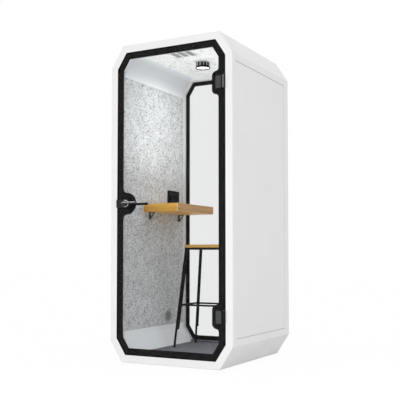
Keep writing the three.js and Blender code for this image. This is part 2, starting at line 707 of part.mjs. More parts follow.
// One door hinge, drawn round its barrel: a clamp and back plate hold the glass,
// a leaf let into the frame holds the outer knuckles, and a headed pin joins them
function buildHinge(name, level) {
  const hinge = new THREE.Group();
  hinge.position.set(hingeX, hingeY, level);
  pod.add(hinge);

  const half = HINGE_HEIGHT / 2;
  const knuckle = HINGE_HEIGHT / KNUCKLE_COUNT / 2;
  const bore = rod([0, 0, -half - OVERCUT], [0, 0, half + OVERCUT], HINGE_PIN_RADIUS + RUNNING);
  const plateLeft = hingePlateLeft - hingeX;
  const plateRight = hingePlateRight - hingeX;
  const glassFace = BARREL_STANDOFF;
  const clampBack = glassFace - GAP;

  const plateShape = roundedRectangle(plateLeft, plateRight, -half, half, PLATE_CORNER);
  const plate = extrudeY(plateShape, clampBack - HINGE_PLATE_THICKNESS, clampBack);
  const arm = box(plateRight - PLATE_CORNER, 0, clampBack - HINGE_ARM_THICKNESS, clampBack,
    GAP - knuckle, knuckle - GAP);
  const doorKnuckle = rod([0, 0, GAP - knuckle], [0, 0, knuckle - GAP], BARREL_RADIUS);
  addPiece(`${name}_hinge_clamp`, cut(join(plate, arm, doorKnuckle), bore), HINGE_GREY, hinge);

  const backStart = glassFace + fritEnd + GAP;
  const backPlate = extrudeY(plateShape, backStart, backStart + BACK_PLATE_THICKNESS);
  const bosses = [-1, 1].map((side) => {
    const z = side * BOSS_SPACING / 2;
    return rod([bossX - hingeX, glassFace, z], [bossX - hingeX, backStart + OVERCUT, z], BOSS_RADIUS);
  });
  addPiece(`${name}_hinge_back_plate`, join(backPlate, ...bosses), HINGE_GREY, hinge);

  const leafX0 = leafLeft - hingeX;
  const leafX1 = leafRight - hingeX;
  const leafY0 = -LEAF_WEB / 2;
  const leaf = box(leafX0, leafX1, leafY0, leafY0 + LEAF_DEPTH, -half, half);
  const outers = [-1, 1].flatMap((side) => {
    const ends = [side * knuckle, side * half];
    const low = Math.min(...ends);
    const high = Math.max(...ends);
    const web = box(HINGE_PIN_RADIUS, leafX1, leafY0, -leafY0, low, high);
    return [rod([0, 0, low], [0, 0, high], BARREL_RADIUS), web];
  });
  addPiece(`${name}_hinge_leaf`, cut(join(leaf, ...outers), bore), HINGE_GREY, hinge);

  const headLow = half + GAP;
  const shank = rod([0, 0, -half], [0, 0, headLow + OVERCUT], HINGE_PIN_RADIUS);
  const head = rod([0, 0, headLow], [0, 0, headLow + PIN_HEAD_THICKNESS], BARREL_RADIUS);
  addPiece(`${name}_hinge_pin`, join(shank, head), STEEL, hinge);
}

// Lock: a case, rose and lever each side of the glass, one spindle, a latch and its strike
function caseShape(left) {
  const low = LOCK_HEIGHT - CASE_HEIGHT / 2;
  const high = LOCK_HEIGHT + CASE_HEIGHT / 2;
  const round = CASE_HEIGHT / 2;
  const endX = lockX + CASE_TAIL - round;
  const shape = new THREE.Shape();
  shape.absarc(endX, LOCK_HEIGHT, round, -Math.PI / 2, Math.PI / 2);
  shape.absarc(left + CASE_CORNER, high - CASE_CORNER, CASE_CORNER, Math.PI / 2, Math.PI);
  shape.absarc(left + CASE_CORNER, low + CASE_CORNER, CASE_CORNER, Math.PI, Math.PI * 1.5);
  shape.closePath();
  return shape;
}

function rose(seat, outward) {
  const bore = NECK_RADIUS + 2 * GAP;
  const edge = ROSE_THICKNESS - ROSE_BEVEL;
  const profile = [
    [bore, 0], [ROSE_RADIUS, 0], [ROSE_RADIUS, edge],
    [ROSE_RADIUS - ROSE_BEVEL, ROSE_THICKNESS], [bore, ROSE_THICKNESS], [bore, 0],
  ];
  const points = profile.map(([radius, height]) => new THREE.Vector2(radius, height));
  const ring = new THREE.LatheGeometry(points, ROUND_SIDES);
  if (outward < 0) {
    ring.rotateX(Math.PI);
  }
  return ring.translate(lockX, seat + outward * GAP, LOCK_HEIGHT);
}

function lever(seat, outward) {
  const plane = FRONT + outward * LEVER_STANDOFF;
  const neck = rod([lockX, seat + outward * GAP, LOCK_HEIGHT], [lockX, plane, LOCK_HEIGHT],
    NECK_RADIUS, LEVER_SIDES);
  const elbow = new THREE.SphereGeometry(NECK_RADIUS, LEVER_SIDES, LEVER_SIDES / 2);
  elbow.translate(lockX, plane, LOCK_HEIGHT);
  const profile = new THREE.Path();
  profile.moveTo(0, 0);
  profile.lineTo(LEVER_RADIUS, 0);
  profile.lineTo(LEVER_TIP_RADIUS, LEVER_REACH - LEVER_TIP_RADIUS);
  profile.absarc(0, LEVER_REACH - LEVER_TIP_RADIUS, LEVER_TIP_RADIUS, 0, Math.PI / 2);
  const arm = new THREE.LatheGeometry(profile.getPoints(ARC_STEPS / 2), LEVER_SIDES);
  arm.rotateZ(-Math.PI / 2);
  arm.translate(lockX, plane, LOCK_HEIGHT);
  const half = SPINDLE / 2 + GAP;
  const ends = [seat, plane - outward * (SPINDLE_INSET - GAP)];
  const socket = box(lockX - half, lockX + half,
    Math.min(...ends) - OVERCUT, Math.max(...ends) + OVERCUT, LOCK_HEIGHT - half, LOCK_HEIGHT + half);
  return cut(join(neck, elbow, arm), socket);
}

function buildLock() {
  const outerBack = FRONT - GAP;
  const outerFront = outerBack - CASE_DEPTH;
  const innerBack = innerCaseFront + CASE_DEPTH;
  const hole = rod([lockX, outerFront - OVERCUT, LOCK_HEIGHT], [lockX, innerBack + OVERCUT, LOCK_HEIGHT],
    spindleHole);
  const outerCase = extrudeY(caseShape(CASE_EDGE - glassEdge), outerFront, outerBack);
  addPiece('outer_lock_case', cut(outerCase, hole), LOCK_GREY);

  const innerLeft = INNER_CASE_CLEARANCE - lipEdge;
  const noseX = LATCH_SHORT - lipEdge;
  const latchEnd = lockX - spindleHole - LATCH_THROW;
  const halfY = LATCH_THICKNESS / 2;
  const halfZ = LATCH_HEIGHT / 2;
  const channel = box(innerLeft - OVERCUT, lockX, latchY - halfY - GAP, latchY + halfY + GAP,
    LOCK_HEIGHT - halfZ - GAP, LOCK_HEIGHT + halfZ + GAP);
  const innerCase = extrudeY(caseShape(innerLeft), innerCaseFront, innerBack);
  addPiece('inner_lock_case', cut(innerCase, hole, channel), LOCK_GREY);

  const latchShape = polygon([
    [noseX, latchY - halfY], [latchEnd, latchY - halfY], [latchEnd, latchY + halfY],
    [noseX + LATCH_BEVEL, latchY + halfY],
  ]);
  addPiece('latch_bolt', extrudeZ(latchShape, LOCK_HEIGHT - halfZ, LOCK_HEIGHT + halfZ), STEEL);

  const strike = box(-lipEdge - STRIKE_THICKNESS, -lipEdge, strikeStart, strikeEnd,
    LOCK_HEIGHT - STRIKE_HEIGHT / 2, LOCK_HEIGHT + STRIKE_HEIGHT / 2);
  addPiece('strike_plate', cut(strike, strikePocket(STRIKE_THICKNESS + OVERCUT)), STEEL);

  addPiece('outer_rose', rose(outerFront, -1), CHROME);
  addPiece('inner_rose', rose(innerBack, 1), CHROME);
  addPiece('outer_lever', lever(outerFront, -1), LEVER_BLACK);
  addPiece('inner_lever', lever(innerBack, 1), LEVER_BLACK);
  const half = SPINDLE / 2;
  const reach = LEVER_STANDOFF - SPINDLE_INSET;
  addPiece('lever_spindle', box(lockX - half, lockX + half, FRONT - reach, FRONT + reach,
    LOCK_HEIGHT - half, LOCK_HEIGHT + half), STEEL);
}

// Desk on the left wall, carried on two small braced brackets
function bracketShape(wall, top) {
  const reach = wall + BRACKET_REACH;
  const foot = top - BRACKET_DROP;
  const shape = polygon([
    [wall, top], [wall, foot], [wall + BRACKET_BAR, foot], [reach, top - BRACKET_BAR], [reach, top],
  ]);
  const slope = (BRACKET_DROP - BRACKET_BAR) / (BRACKET_REACH - BRACKET_BAR);
  const slant = BRACKET_BAR * Math.hypot(1, slope);
  const cornerX = wall + BRACKET_BAR;
  const cornerZ = top - BRACKET_BAR;
  const low = foot + slant;
  shape.holes.push(polygon([
    [cornerX, cornerZ], [cornerX, low], [cornerX + (cornerZ - low) / slope, cornerZ],
  ]));
  return shape;
}

function buildDesk() {
  const wall = GAP - wallFace;
  const rear = rearFrameFront - DESK_REAR_MARGIN;
  const front = rear - DESK_LENGTH;
  const free = wall + DESK_WIDTH;
  const shape = new THREE.Shape();
  shape.moveTo(wall, front);
  shape.lineTo(free - DESK_CORNER, front);
  shape.absarc(free - DESK_CORNER, front + DESK_CORNER, DESK_CORNER, -Math.PI / 2, 0);
  shape.absarc(free - DESK_CORNER, rear - DESK_CORNER, DESK_CORNER, 0, Math.PI / 2);
  shape.lineTo(wall, rear);
  shape.closePath();
  const underside = DESK_TOP - DESK_THICKNESS;
  addPiece('desk_top', extrudeZ(shape, underside, DESK_TOP), WOOD);

  const places = { front: front + BRACKET_FRONT_INSET, rear: rear - BRACKET_REAR_INSET };
  for (const [name, y] of Object.entries(places)) {
    const bracket = bracketShape(wall, underside - GAP);
    addPiece(`${name}_desk_bracket`,
      extrudeY(bracket, y - BRACKET_WIDTH / 2, y + BRACKET_WIDTH / 2), BLACK_METAL);
  }
}

// Socket panel: two plain round outlets, a rocker switch and a column of small ports
function buildSocketPanel() {
  const back = GAP - wallFace;
  const face = back + SOCKET_THICKNESS;
  const outline = roundedRectangle(socketFront, socketRear, socketLow, SOCKET_TOP, SOCKET_CORNER);
  const plate = extrudeX(outline, back, face);
  const recesses = [0, 1].map((index) => {
    const y = socketFront + OUTLET_MARGIN + index * OUTLET_PITCH;
    return rod([face - OUTLET_DEPTH, y, socketMiddle], [face + OVERCUT, y, socketMiddle],
      OUTLET_RADIUS);
  });
  for (let i = 0; i < PORT_COUNT; i += 1) {
    const y = socketRear - PORT_MARGIN;
    const z = socketMiddle + (i - (PORT_COUNT - 1) / 2) * PORT_PITCH;
    recesses.push(box(face - PORT_DEPTH, face + OVERCUT, y - PORT_WIDTH / 2, y + PORT_WIDTH / 2,
      z - PORT_HEIGHT / 2, z + PORT_HEIGHT / 2));
  }
  const rockerY = socketRear - ROCKER_MARGIN;
  const pocketY = ROCKER_WIDTH / 2 + GAP;
  const pocketZ = ROCKER_HEIGHT / 2 + 2 * GAP;
  recesses.push(box(face - ROCKER_POCKET, face + OVERCUT, rockerY - pocketY, rockerY + pocketY,
    socketMiddle - pocketZ, socketMiddle + pocketZ));
  addPiece('socket_panel', cut(plate, ...recesses), BLACK_PLASTIC);
  addPiece('socket_box', socketRecess(-wallFace - SOCKET_BOX_DEPTH, back - GAP, SOCKET_BOX_MARGIN),
    GREY_PLASTIC);

  const half = ROCKER_HEIGHT / 2;
  const tilt = THREE.MathUtils.degToRad(ROCKER_TILT);
  const lift = half * Math.tan(tilt);
  const rocker = extrudeY(polygon([
    [0, 0], [lift, half], [-ROCKER_BACK / 2, half], [-ROCKER_BACK, half / 2],
    [-ROCKER_BACK, -half / 2], [-ROCKER_BACK / 2, -half], [lift, -half],
  ]), -ROCKER_WIDTH / 2, ROCKER_WIDTH / 2);
  rocker.rotateY(-tilt);
  const switchPlace = new THREE.Group();
  switchPlace.position.set(face, rockerY, socketMiddle);
  pod.add(switchPlace);
  addPiece('rocker_switch', rocker, BLACK_PLASTIC, switchPlace);
}

// Air inlet: a louvred grille on the felt and one on the outer panel, joined by the wall's bore
function louvredDisc(seat, outward, flangeThickness) {
  const ends = [seat, seat + outward * flangeThickness];
  const flange = inletBore(INLET_RADIUS, Math.min(...ends), Math.max(...ends));
  const inner = seat - outward * INLET_COLLAR;
  const spigot = inletBore(INLET_BORE - GAP, Math.min(inner, seat), Math.max(inner, seat));
  const clear = INLET_BORE - GAP - INLET_COLLAR_WALL;
  const mouth = inner - outward * OVERCUT;
  const hollow = inletBore(clear, Math.min(mouth, seat), Math.max(mouth, seat));
  const reach = flangeThickness + OVERCUT;
  const slots = [];
  const count = Math.floor(clear / LOUVRE_PITCH);
  for (let i = -count; i <= count; i += 1) {
    const z = INLET_HEIGHT + i * LOUVRE_PITCH;
    const strip = box(seat - reach, seat + reach, inletY - clear, inletY + clear,
      z - LOUVRE_GAP / 2, z + LOUVRE_GAP / 2);
    slots.push(common(strip, inletBore(clear, seat - reach, seat + reach)));
  }
  return cut(join(flange, spigot), hollow, ...slots);
}

function buildInlet() {
  addPiece('inlet_grille', louvredDisc(GAP - wallFace, 1, INLET_FLANGE), GREY_PLASTIC);
  const outerSeat = PANEL_RECESS - WIDTH / 2 - GAP;
  addPiece('inlet_outer_grille', louvredDisc(outerSeat, -1, PANEL_RECESS - GAP), GREY_PLASTIC);
}

// Ceiling lamp: a finned black body with a domed opal diffuser in its bezel
function finnedOutline() {
  const points = [];
  const step = Math.PI * 2 / LAMP_FIN_COUNT;
  for (let i = 0; i < LAMP_FIN_COUNT; i += 1) {
    const open = 1 - LAMP_FIN_SHARE;
    const corners = [
      [LAMP_FIN_ROOT, 0], [LAMP_FIN_ROOT, open], [LAMP_FIN_RADIUS, open],
      [LAMP_FIN_RADIUS, (1 + open) / 2], [LAMP_FIN_RADIUS, 1],
    ];
    for (const [radius, share] of corners) {
      const angle = (i + share) * step;
      points.push([radius * Math.cos(angle), radius * Math.sin(angle)]);
    }
  }
  return polygon(points);
}

function buildLamp() {
  const top = ceilingLevel - GAP;
  const low = ceilingLevel - LAMP_DROP;
  const bezelTop = low + LAMP_BEZEL;
  const finTop = top - LAMP_NECK;
  const neck = rod([0, 0, finTop - OVERCUT], [0, 0, top], LAMP_NECK_RADIUS);
  const fins = extrudeZ(finnedOutline(), bezelTop - OVERCUT, finTop);
  const bezel = rod([0, 0, low], [0, 0, bezelTop], LAMP_RADIUS);
  const seatRadius = LAMP_RADIUS - LAMP_BEZEL_WALL;
  const seat = rod([0, 0, low - OVERCUT], [0, 0, low + DIFFUSER_THICKNESS], seatRadius);
  addPiece('lamp_body', cut(join(neck, fins, bezel), seat), BLACK_METAL);

  const radius = seatRadius - GAP;
  const diffuserTop = low + DIFFUSER_THICKNESS - GAP;
  const profile = new THREE.Path();
  profile.moveTo(0, low - DIFFUSER_CROWN);
  profile.quadraticCurveTo(radius - DIFFUSER_SHOULDER, low - DIFFUSER_CROWN, radius, low);
  profile.lineTo(radius, diffuserTop);
  profile.lineTo(0, diffuserTop);
  const dome = new THREE.LatheGeometry(profile.getPoints(ARC_STEPS / 2), ROUND_SIDES);
  dome.rotateX(Math.PI / 2);
  addPiece('lamp_diffuser', dome, OPAL);
}

// Extractor fan: a square housing with a spider and shaft, and a rotor of twisted blades
function fanBlade(index) {
  const root = FAN_HUB - FAN_BLADE_SEAT;
  const tip = FAN_BORE - FAN_TIP_GAP;
  const blade = new THREE.BoxGeometry(tip - root, FAN_BLADE_CHORD, FAN_BLADE_THICKNESS,
    BLADE_STEPS, CHORD_STEPS);
  blade.translate((root + tip) / 2, 0, 0);
  const position = blade.attributes.position;
  for (let i = 0; i < position.count; i += 1) {
    const share = (position.getX(i) - root) / (tip - root);
    const degrees = THREE.MathUtils.lerp(FAN_ROOT_PITCH, FAN_TIP_PITCH, share);
    const pitch = THREE.MathUtils.degToRad(degrees);
    const across = position.getY(i);
    const up = position.getZ(i);
    position.setY(i, across * Math.cos(pitch) - up * Math.sin(pitch));
    position.setZ(i, across * Math.sin(pitch) + up * Math.cos(pitch));
  }
  return blade.rotateZ(index * Math.PI * 2 / FAN_BLADE_COUNT);
}

function buildFan() {
  const fan = new THREE.Group();
  fan.position.set(FAN_ACROSS, fanY, loftLow);
  pod.add(fan);

  const half = FAN_SIZE / 2;
  const square = roundedRectangle(-half, half, -half, half, FAN_CORNER);
  const duct = rod([0, 0, -OVERCUT], [0, 0, FAN_HEIGHT + OVERCUT], FAN_BORE);
  const frame = cut(extrudeZ(square, 0, FAN_HEIGHT), duct);
  const strutLow = FAN_HEIGHT - FAN_STRUT_THICKNESS;
  const struts = [];
  for (let i = 0; i < FAN_STRUT_COUNT; i += 1) {
    const strut = box(0, FAN_BORE + OVERCUT, -FAN_STRUT_WIDTH / 2, FAN_STRUT_WIDTH / 2,
      strutLow, FAN_HEIGHT);
    struts.push(strut.rotateZ((i + 0.5) * Math.PI * 2 / FAN_STRUT_COUNT));
  }
  const motor = rod([0, 0, strutLow], [0, 0, FAN_HEIGHT], FAN_HUB - FAN_SHAFT);
  const rotorTop = strutLow - GAP;
  const rotorLow = rotorTop - FAN_ROTOR_HEIGHT;
  const shaft = rod([0, 0, rotorLow + FAN_SHAFT], [0, 0, strutLow + OVERCUT], FAN_SHAFT);
  addPiece('fan_housing', join(frame, ...struts, motor, shaft), BLACK_PLASTIC, fan);

  const hub = rod([0, 0, rotorLow], [0, 0, rotorTop], FAN_HUB);
  const bore = rod([0, 0, rotorLow + FAN_SHAFT - GAP], [0, 0, rotorTop + OVERCUT], FAN_SHAFT + RUNNING);
  const blades = [];
  for (let i = 0; i < FAN_BLADE_COUNT; i += 1) {
    blades.push(fanBlade(i).translate(0, 0, (rotorLow + rotorTop) / 2));
  }
  addPiece('fan_rotor', cut(join(hub, ...blades), bore), BLACK_PLASTIC, fan);
}

// Stool: a wooden seat on a bar frame, four splayed legs of two rods each, and a footrest
function buildStool() {
  const stool = new THREE.Group();
  stool.position.set(STOOL_WALL_MARGIN - wallFace, rearFrameFront - STOOL_REAR_MARGIN, floorLevel);
  pod.add(stool);

  const sides = [[-1, -1], [1, -1], [1, 1], [-1, 1]];
  const halfWidth = SEAT_WIDTH / 2;
  const halfDepth = SEAT_DEPTH / 2;
  const seatLow = SEAT_TOP - SEAT_THICKNESS;
  const seatShape = roundedRectangle(-halfWidth, halfWidth, -halfDepth, halfDepth, SEAT_CORNER);
  addPiece('stool_seat', extrudeZ(seatShape, seatLow, SEAT_TOP), WOOD, stool);

  const frameX = halfWidth - SEAT_FRAME_INSET;
  const frameY = halfDepth - SEAT_FRAME_INSET;
  const frameHigh = seatLow - GAP;
  const frameLow = frameHigh - SEAT_FRAME_THICKNESS;
  const openX = frameX - SEAT_FRAME_BAR;
  const openY = frameY - SEAT_FRAME_BAR;
  const frameShape = polygon(sides.map(([x, y]) => [x * frameX, y * frameY]));
  frameShape.holes.push(polygon(sides.map(([x, y]) => [x * openX, y * openY])));
  addPiece('stool_seat_frame', extrudeZ(frameShape, frameLow, frameHigh), BLACK_METAL, stool);

  const legTop = frameLow - GAP;
  const topX = frameX - LEG_INSET;
  const topY = frameY - LEG_INSET;
  const overrun = 2 * SEAT_FRAME_THICKNESS;
  const legPoint = (sideX, sideY, level, offset = 0) => {
    const share = (legTop - level) / legTop;
    const x = topX + LEG_SPLAY_ACROSS * share - offset * LEG_BRACE_ACROSS;
    const y = topY + LEG_SPLAY_DEEP * share - offset * LEG_BRACE_DEEP;
    return [sideX * x, sideY * y, level];
  };
  const far = WIDTH;
  const above = box(-far, far, -far, far, legTop, legTop + far);
  const below = box(-far, far, -far, far, GAP - far, GAP);
  for (const [sideX, sideY] of sides) {
    const name = `${sideY < 0 ? 'front' : 'rear'}_${sideX < 0 ? 'left' : 'right'}`;
    const head = legPoint(sideX, sideY, legTop + overrun);
    const foot = legPoint(sideX, sideY, -overrun);
    const main = rod(head, foot, LEG_RADIUS, ROD_SIDES);
    const braceHead = legPoint(sideX, sideY, legTop + overrun, 1);
    const braceFoot = legPoint(sideX, sideY, LEG_BRACE_FOOT, 1);
    const brace = rod(braceHead, braceFoot, LEG_BRACE_RADIUS, ROD_SIDES);
    const lugStart = legPoint(sideX, sideY, LEG_BRACE_FOOT, -LEG_LUG_OVERHANG);
    const lugEnd = legPoint(sideX, sideY, LEG_BRACE_FOOT, 1 + LEG_LUG_OVERHANG);
    const lug = rod(lugStart, lugEnd, LEG_LUG_RADIUS, ROD_SIDES);
    addPiece(`stool_leg_${name}`, cut(join(main, brace, lug), above, below), BLACK_METAL, stool);
  }

  const [legX] = legPoint(1, 1, FOOTREST_HEIGHT);
  const [, braceY] = legPoint(1, 1, FOOTREST_HEIGHT, 1);
  const ringY = braceY - LEG_BRACE_RADIUS - FOOTREST_RADIUS - GAP;
  const ring = sides.map(([x, y]) => [x * legX, y * ringY, FOOTREST_HEIGHT]);
  const bars = ring.map((corner, i) => {
    const next = ring[(i + 1) % ring.length];
    return rod(corner, next, FOOTREST_RADIUS, ROD_SIDES);
  });
  const bends = ring.map((corner) => {
    const bend = new THREE.SphereGeometry(FOOTREST_RADIUS, ROD_SIDES, ROD_SIDES / 2);
    return bend.translate(...corner);
  });
  addPiece('stool_footrest', join(...bars, ...bends), BLACK_METAL, stool);
}

buildShell();
buildCores();
buildLining();
buildGlazing();
for (const [name, level] of Object.entries(hingeLevels)) {
  buildHinge(name, level);
}
buildLock();
buildDesk();
buildSocketPanel();
buildInlet();
buildLamp();
buildFan();
buildStool();

export default pod;
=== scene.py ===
"""Acoustic office pod: finishes, rounded edges and fine pieces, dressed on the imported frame.

Metres. X runs across the pod, Y from the door to the rear window, Z up.
"""

import logging
import math
from collections.abc import Callable, Iterable
from dataclasses import dataclass
from enum import Enum
from typing import ClassVar

import bpy
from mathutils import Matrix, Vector


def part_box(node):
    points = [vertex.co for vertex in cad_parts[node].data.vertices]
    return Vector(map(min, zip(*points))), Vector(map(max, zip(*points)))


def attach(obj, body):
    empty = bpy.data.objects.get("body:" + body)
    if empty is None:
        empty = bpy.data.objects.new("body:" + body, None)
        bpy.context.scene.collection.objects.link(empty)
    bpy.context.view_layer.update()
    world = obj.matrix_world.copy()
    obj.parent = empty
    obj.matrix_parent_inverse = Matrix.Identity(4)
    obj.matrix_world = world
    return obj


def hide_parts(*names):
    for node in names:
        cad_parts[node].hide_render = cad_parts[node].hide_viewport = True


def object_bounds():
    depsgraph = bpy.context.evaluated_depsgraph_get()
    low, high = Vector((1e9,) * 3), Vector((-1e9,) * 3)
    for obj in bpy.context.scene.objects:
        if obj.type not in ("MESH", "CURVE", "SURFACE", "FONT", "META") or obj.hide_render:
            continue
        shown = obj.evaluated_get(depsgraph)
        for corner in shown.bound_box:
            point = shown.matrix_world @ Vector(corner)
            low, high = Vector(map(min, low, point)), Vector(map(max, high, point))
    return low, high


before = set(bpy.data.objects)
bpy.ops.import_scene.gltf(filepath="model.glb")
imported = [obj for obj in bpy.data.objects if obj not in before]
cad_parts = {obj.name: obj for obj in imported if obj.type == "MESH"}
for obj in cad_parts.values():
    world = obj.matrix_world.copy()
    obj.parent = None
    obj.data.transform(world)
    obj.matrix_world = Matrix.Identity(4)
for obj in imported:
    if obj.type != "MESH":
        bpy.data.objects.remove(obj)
CAD_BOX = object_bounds()

LOG = logging.getLogger("pod")
MM = 0.001
ROUND_SIDES = 32
MERGE_DISTANCE = 0.02 * MM
FLAT_ANGLE = math.radians(0.5)
SHARP_ANGLE = math.radians(40)
BEVEL_ANGLE = math.radians(32)

Colour = tuple[float, float, float]
EdgeWeight = Callable[[Vector, Vector], float]


class Body(Enum):
    """The rigid bodies that pieces ride on."""

    CABIN = "cabin"
    DOOR = "door"
    LEVERS = "levers"
    LATCH = "latch"
    FAN = "fan"
    SWITCH = "switch"
    STOOL = "stool"


class Grain(Enum):
    """The way that wood grain runs, as the stretch of its pattern along X, Y and Z."""

    ACROSS = (1.4, 34.0, 34.0)
    DEEP = (34.0, 1.4, 34.0)


def linear(red: int, green: int, blue: int) -> Colour:
    """Turn a colour seen on screen into the light it reflects.

    Args:
        red: red from 0 to 255.
        green: green from 0 to 255.
        blue: blue from 0 to 255.

    Returns:
        The three shares of reflected light, from 0 to 1.
    """

    def share(value: int) -> float:
        """Undo the screen curve of one channel."""
        level = value / 255
        return level / 12.92 if level <= 0.04045 else ((level + 0.055) / 1.055) ** 2.4

    return share(red), share(green), share(blue)


class NodeSheet:
    """A node tree with short calls that add its nodes and join them."""

    def __init__(self, tree: bpy.types.NodeTree) -> None:
        """Keep the tree that the nodes go into."""
        self.tree = tree

    def add(self, kind: str, inputs: dict | None = None, **settings) -> bpy.types.Node:
        """Add one node.

        Args:
            kind: the node's type name.
            inputs: values or output sockets for its inputs, by name or by number.
            settings: values for the node's own properties.

        Returns:
            The new node.
        """
        node = self.tree.nodes.new(kind)
        for name, value in settings.items():
            setattr(node, name, value)
        for key, value in (inputs or {}).items():
            if isinstance(value, bpy.types.NodeSocket):
                self.tree.links.new(value, node.inputs[key])
            else:
                node.inputs[key].default_value = value
        return node

    def blend(self, share: bpy.types.NodeSocket, first: Colour, second: Colour) -> bpy.types.NodeSocket:
        """Blend two colours by a share that changes over the surface.

        Args:
            share: the output that holds the share of the second colour.
            first: the colour where the share is 0.
            second: the colour where the share is 1.

        Returns:
            The blended colour's output.
        """
        ramp = self.add("ShaderNodeValToRGB", {"Fac": share})
        ramp.color_ramp.elements[0].color = (*first, 1.0)
        ramp.color_ramp.elements[1].color = (*second, 1.0)
        return ramp.outputs["Color"]


class EffectLibrary:
    """Surface effects that several finishes share, each built once as a node group."""

    made: ClassVar[dict[str, bpy.types.NodeTree]] = {}

    @classmethod
    def _start(cls, name: str, inputs: dict[str, float], outputs: Iterable[str]) -> tuple:
        """Open a new group.

        Args:
            name: the group's name.
            inputs: its number inputs with their usual values.
            outputs: the names of its number outputs.

        Returns:
            The group's sheet, its input node and its output node.
        """
        tree = bpy.data.node_groups.new(name, "ShaderNodeTree")
        for label, value in inputs.items():
            socket = tree.interface.new_socket(label, in_out="INPUT", socket_type="NodeSocketFloat")
            socket.default_value = value
        for label in outputs:
            tree.interface.new_socket(label, in_out="OUTPUT", socket_type="NodeSocketFloat")
        cls.made[name] = tree
        sheet = NodeSheet(tree)
        return sheet, sheet.add("NodeGroupInput"), sheet.add("NodeGroupOutput")

    @classmethod
    def handling(cls) -> bpy.types.NodeTree:
        """Soft patches left by cleaning and handling, as a value between Low and High."""
        name = "handling_patches"
        if name not in cls.made:
            sheet, start, end = cls._start(name, {"Scale": 6.0, "Low": 0.4, "High": 0.5}, ["Value"])
            place = sheet.add("ShaderNodeTexCoord")
            patches = sheet.add("ShaderNodeTexNoise", {
                "Vector": place.outputs["Object"], "Scale": start.outputs["Scale"],
                "Detail": 5.0, "Roughness": 0.6,
            })
            spread = sheet.add("ShaderNodeMapRange", {
                "Value": patches.outputs["Fac"], "From Min": 0.3, "From Max": 0.7,
                "To Min": start.outputs["Low"], "To Max": start.outputs["High"],
            })
            sheet.tree.links.new(spread.outputs["Result"], end.inputs["Value"])
        return cls.made[name]

    @classmethod
    def pebble(cls) -> bpy.types.NodeTree:
        """Fine rounded texture of coated and moulded surfaces, as a height."""
        name = "fine_pebble"
        if name not in cls.made:
            sheet, start, end = cls._start(name, {"Scale": 900.0}, ["Height"])
            place = sheet.add("ShaderNodeTexCoord")
            grains = sheet.add("ShaderNodeTexNoise", {
                "Vector": place.outputs["Object"], "Scale": start.outputs["Scale"],
                "Detail": 2.0, "Roughness": 0.5,
            })
            sheet.tree.links.new(grains.outputs["Fac"], end.inputs["Height"])
        return cls.made[name]

    @classmethod
    def fibres(cls) -> bpy.types.NodeTree:
        """Clouds and dark fibre specks of pressed felt and pile, with a fibre height."""
        name = "pressed_fibres"
        if name not in cls.made:
            sheet, start, end = cls._start(name, {
                "Cloud Scale": 5.0, "Speck Scale": 120.0, "Speck Level": 0.6, "Speck Spread": 0.1,
                "Fibre Scale": 900.0,
            }, ["Cloud", "Speck", "Height"])
            place = sheet.add("ShaderNodeTexCoord")
            laid = sheet.add("ShaderNodeMapping", {
                "Vector": place.outputs["Object"], "Scale": (1.0, 0.6, 1.0),
            })
            cloud = sheet.add("ShaderNodeTexNoise", {
                "Vector": place.outputs["Object"], "Scale": start.outputs["Cloud Scale"],
                "Detail": 6.0, "Roughness": 0.62, "Distortion": 0.3,
            })
            speck = sheet.add("ShaderNodeTexNoise", {
                "Vector": laid.outputs["Vector"], "Scale": start.outputs["Speck Scale"],
                "Detail": 2.0, "Roughness": 0.6, "Distortion": 0.4,
            })
            lean = sheet.add("ShaderNodeMath", {
                0: cloud.outputs["Fac"], 1: -0.25, 2: speck.outputs["Fac"],
            }, operation="MULTIPLY_ADD")
            edge = sheet.add("ShaderNodeMath", {
                0: start.outputs["Speck Level"], 1: start.outputs["Speck Spread"],
            }, operation="ADD")
            dots = sheet.add("ShaderNodeMapRange", {
                "Value": lean.outputs["Value"], "From Min": start.outputs["Speck Level"],
                "From Max": edge.outputs["Value"], "To Min": 0.0, "To Max": 1.0,
            }, interpolation_type="SMOOTHSTEP")
            fibre = sheet.add("ShaderNodeTexNoise", {
                "Vector": place.outputs["Object"], "Scale": start.outputs["Fibre Scale"],
                "Detail": 4.0, "Roughness": 0.75, "Distortion": 1.2,
            })
            sheet.tree.links.new(cloud.outputs["Fac"], end.inputs["Cloud"])
            sheet.tree.links.new(dots.outputs["Result"], end.inputs["Speck"])
            sheet.tree.links.new(fibre.outputs["Fac"], end.inputs["Height"])
        return cls.made[name]


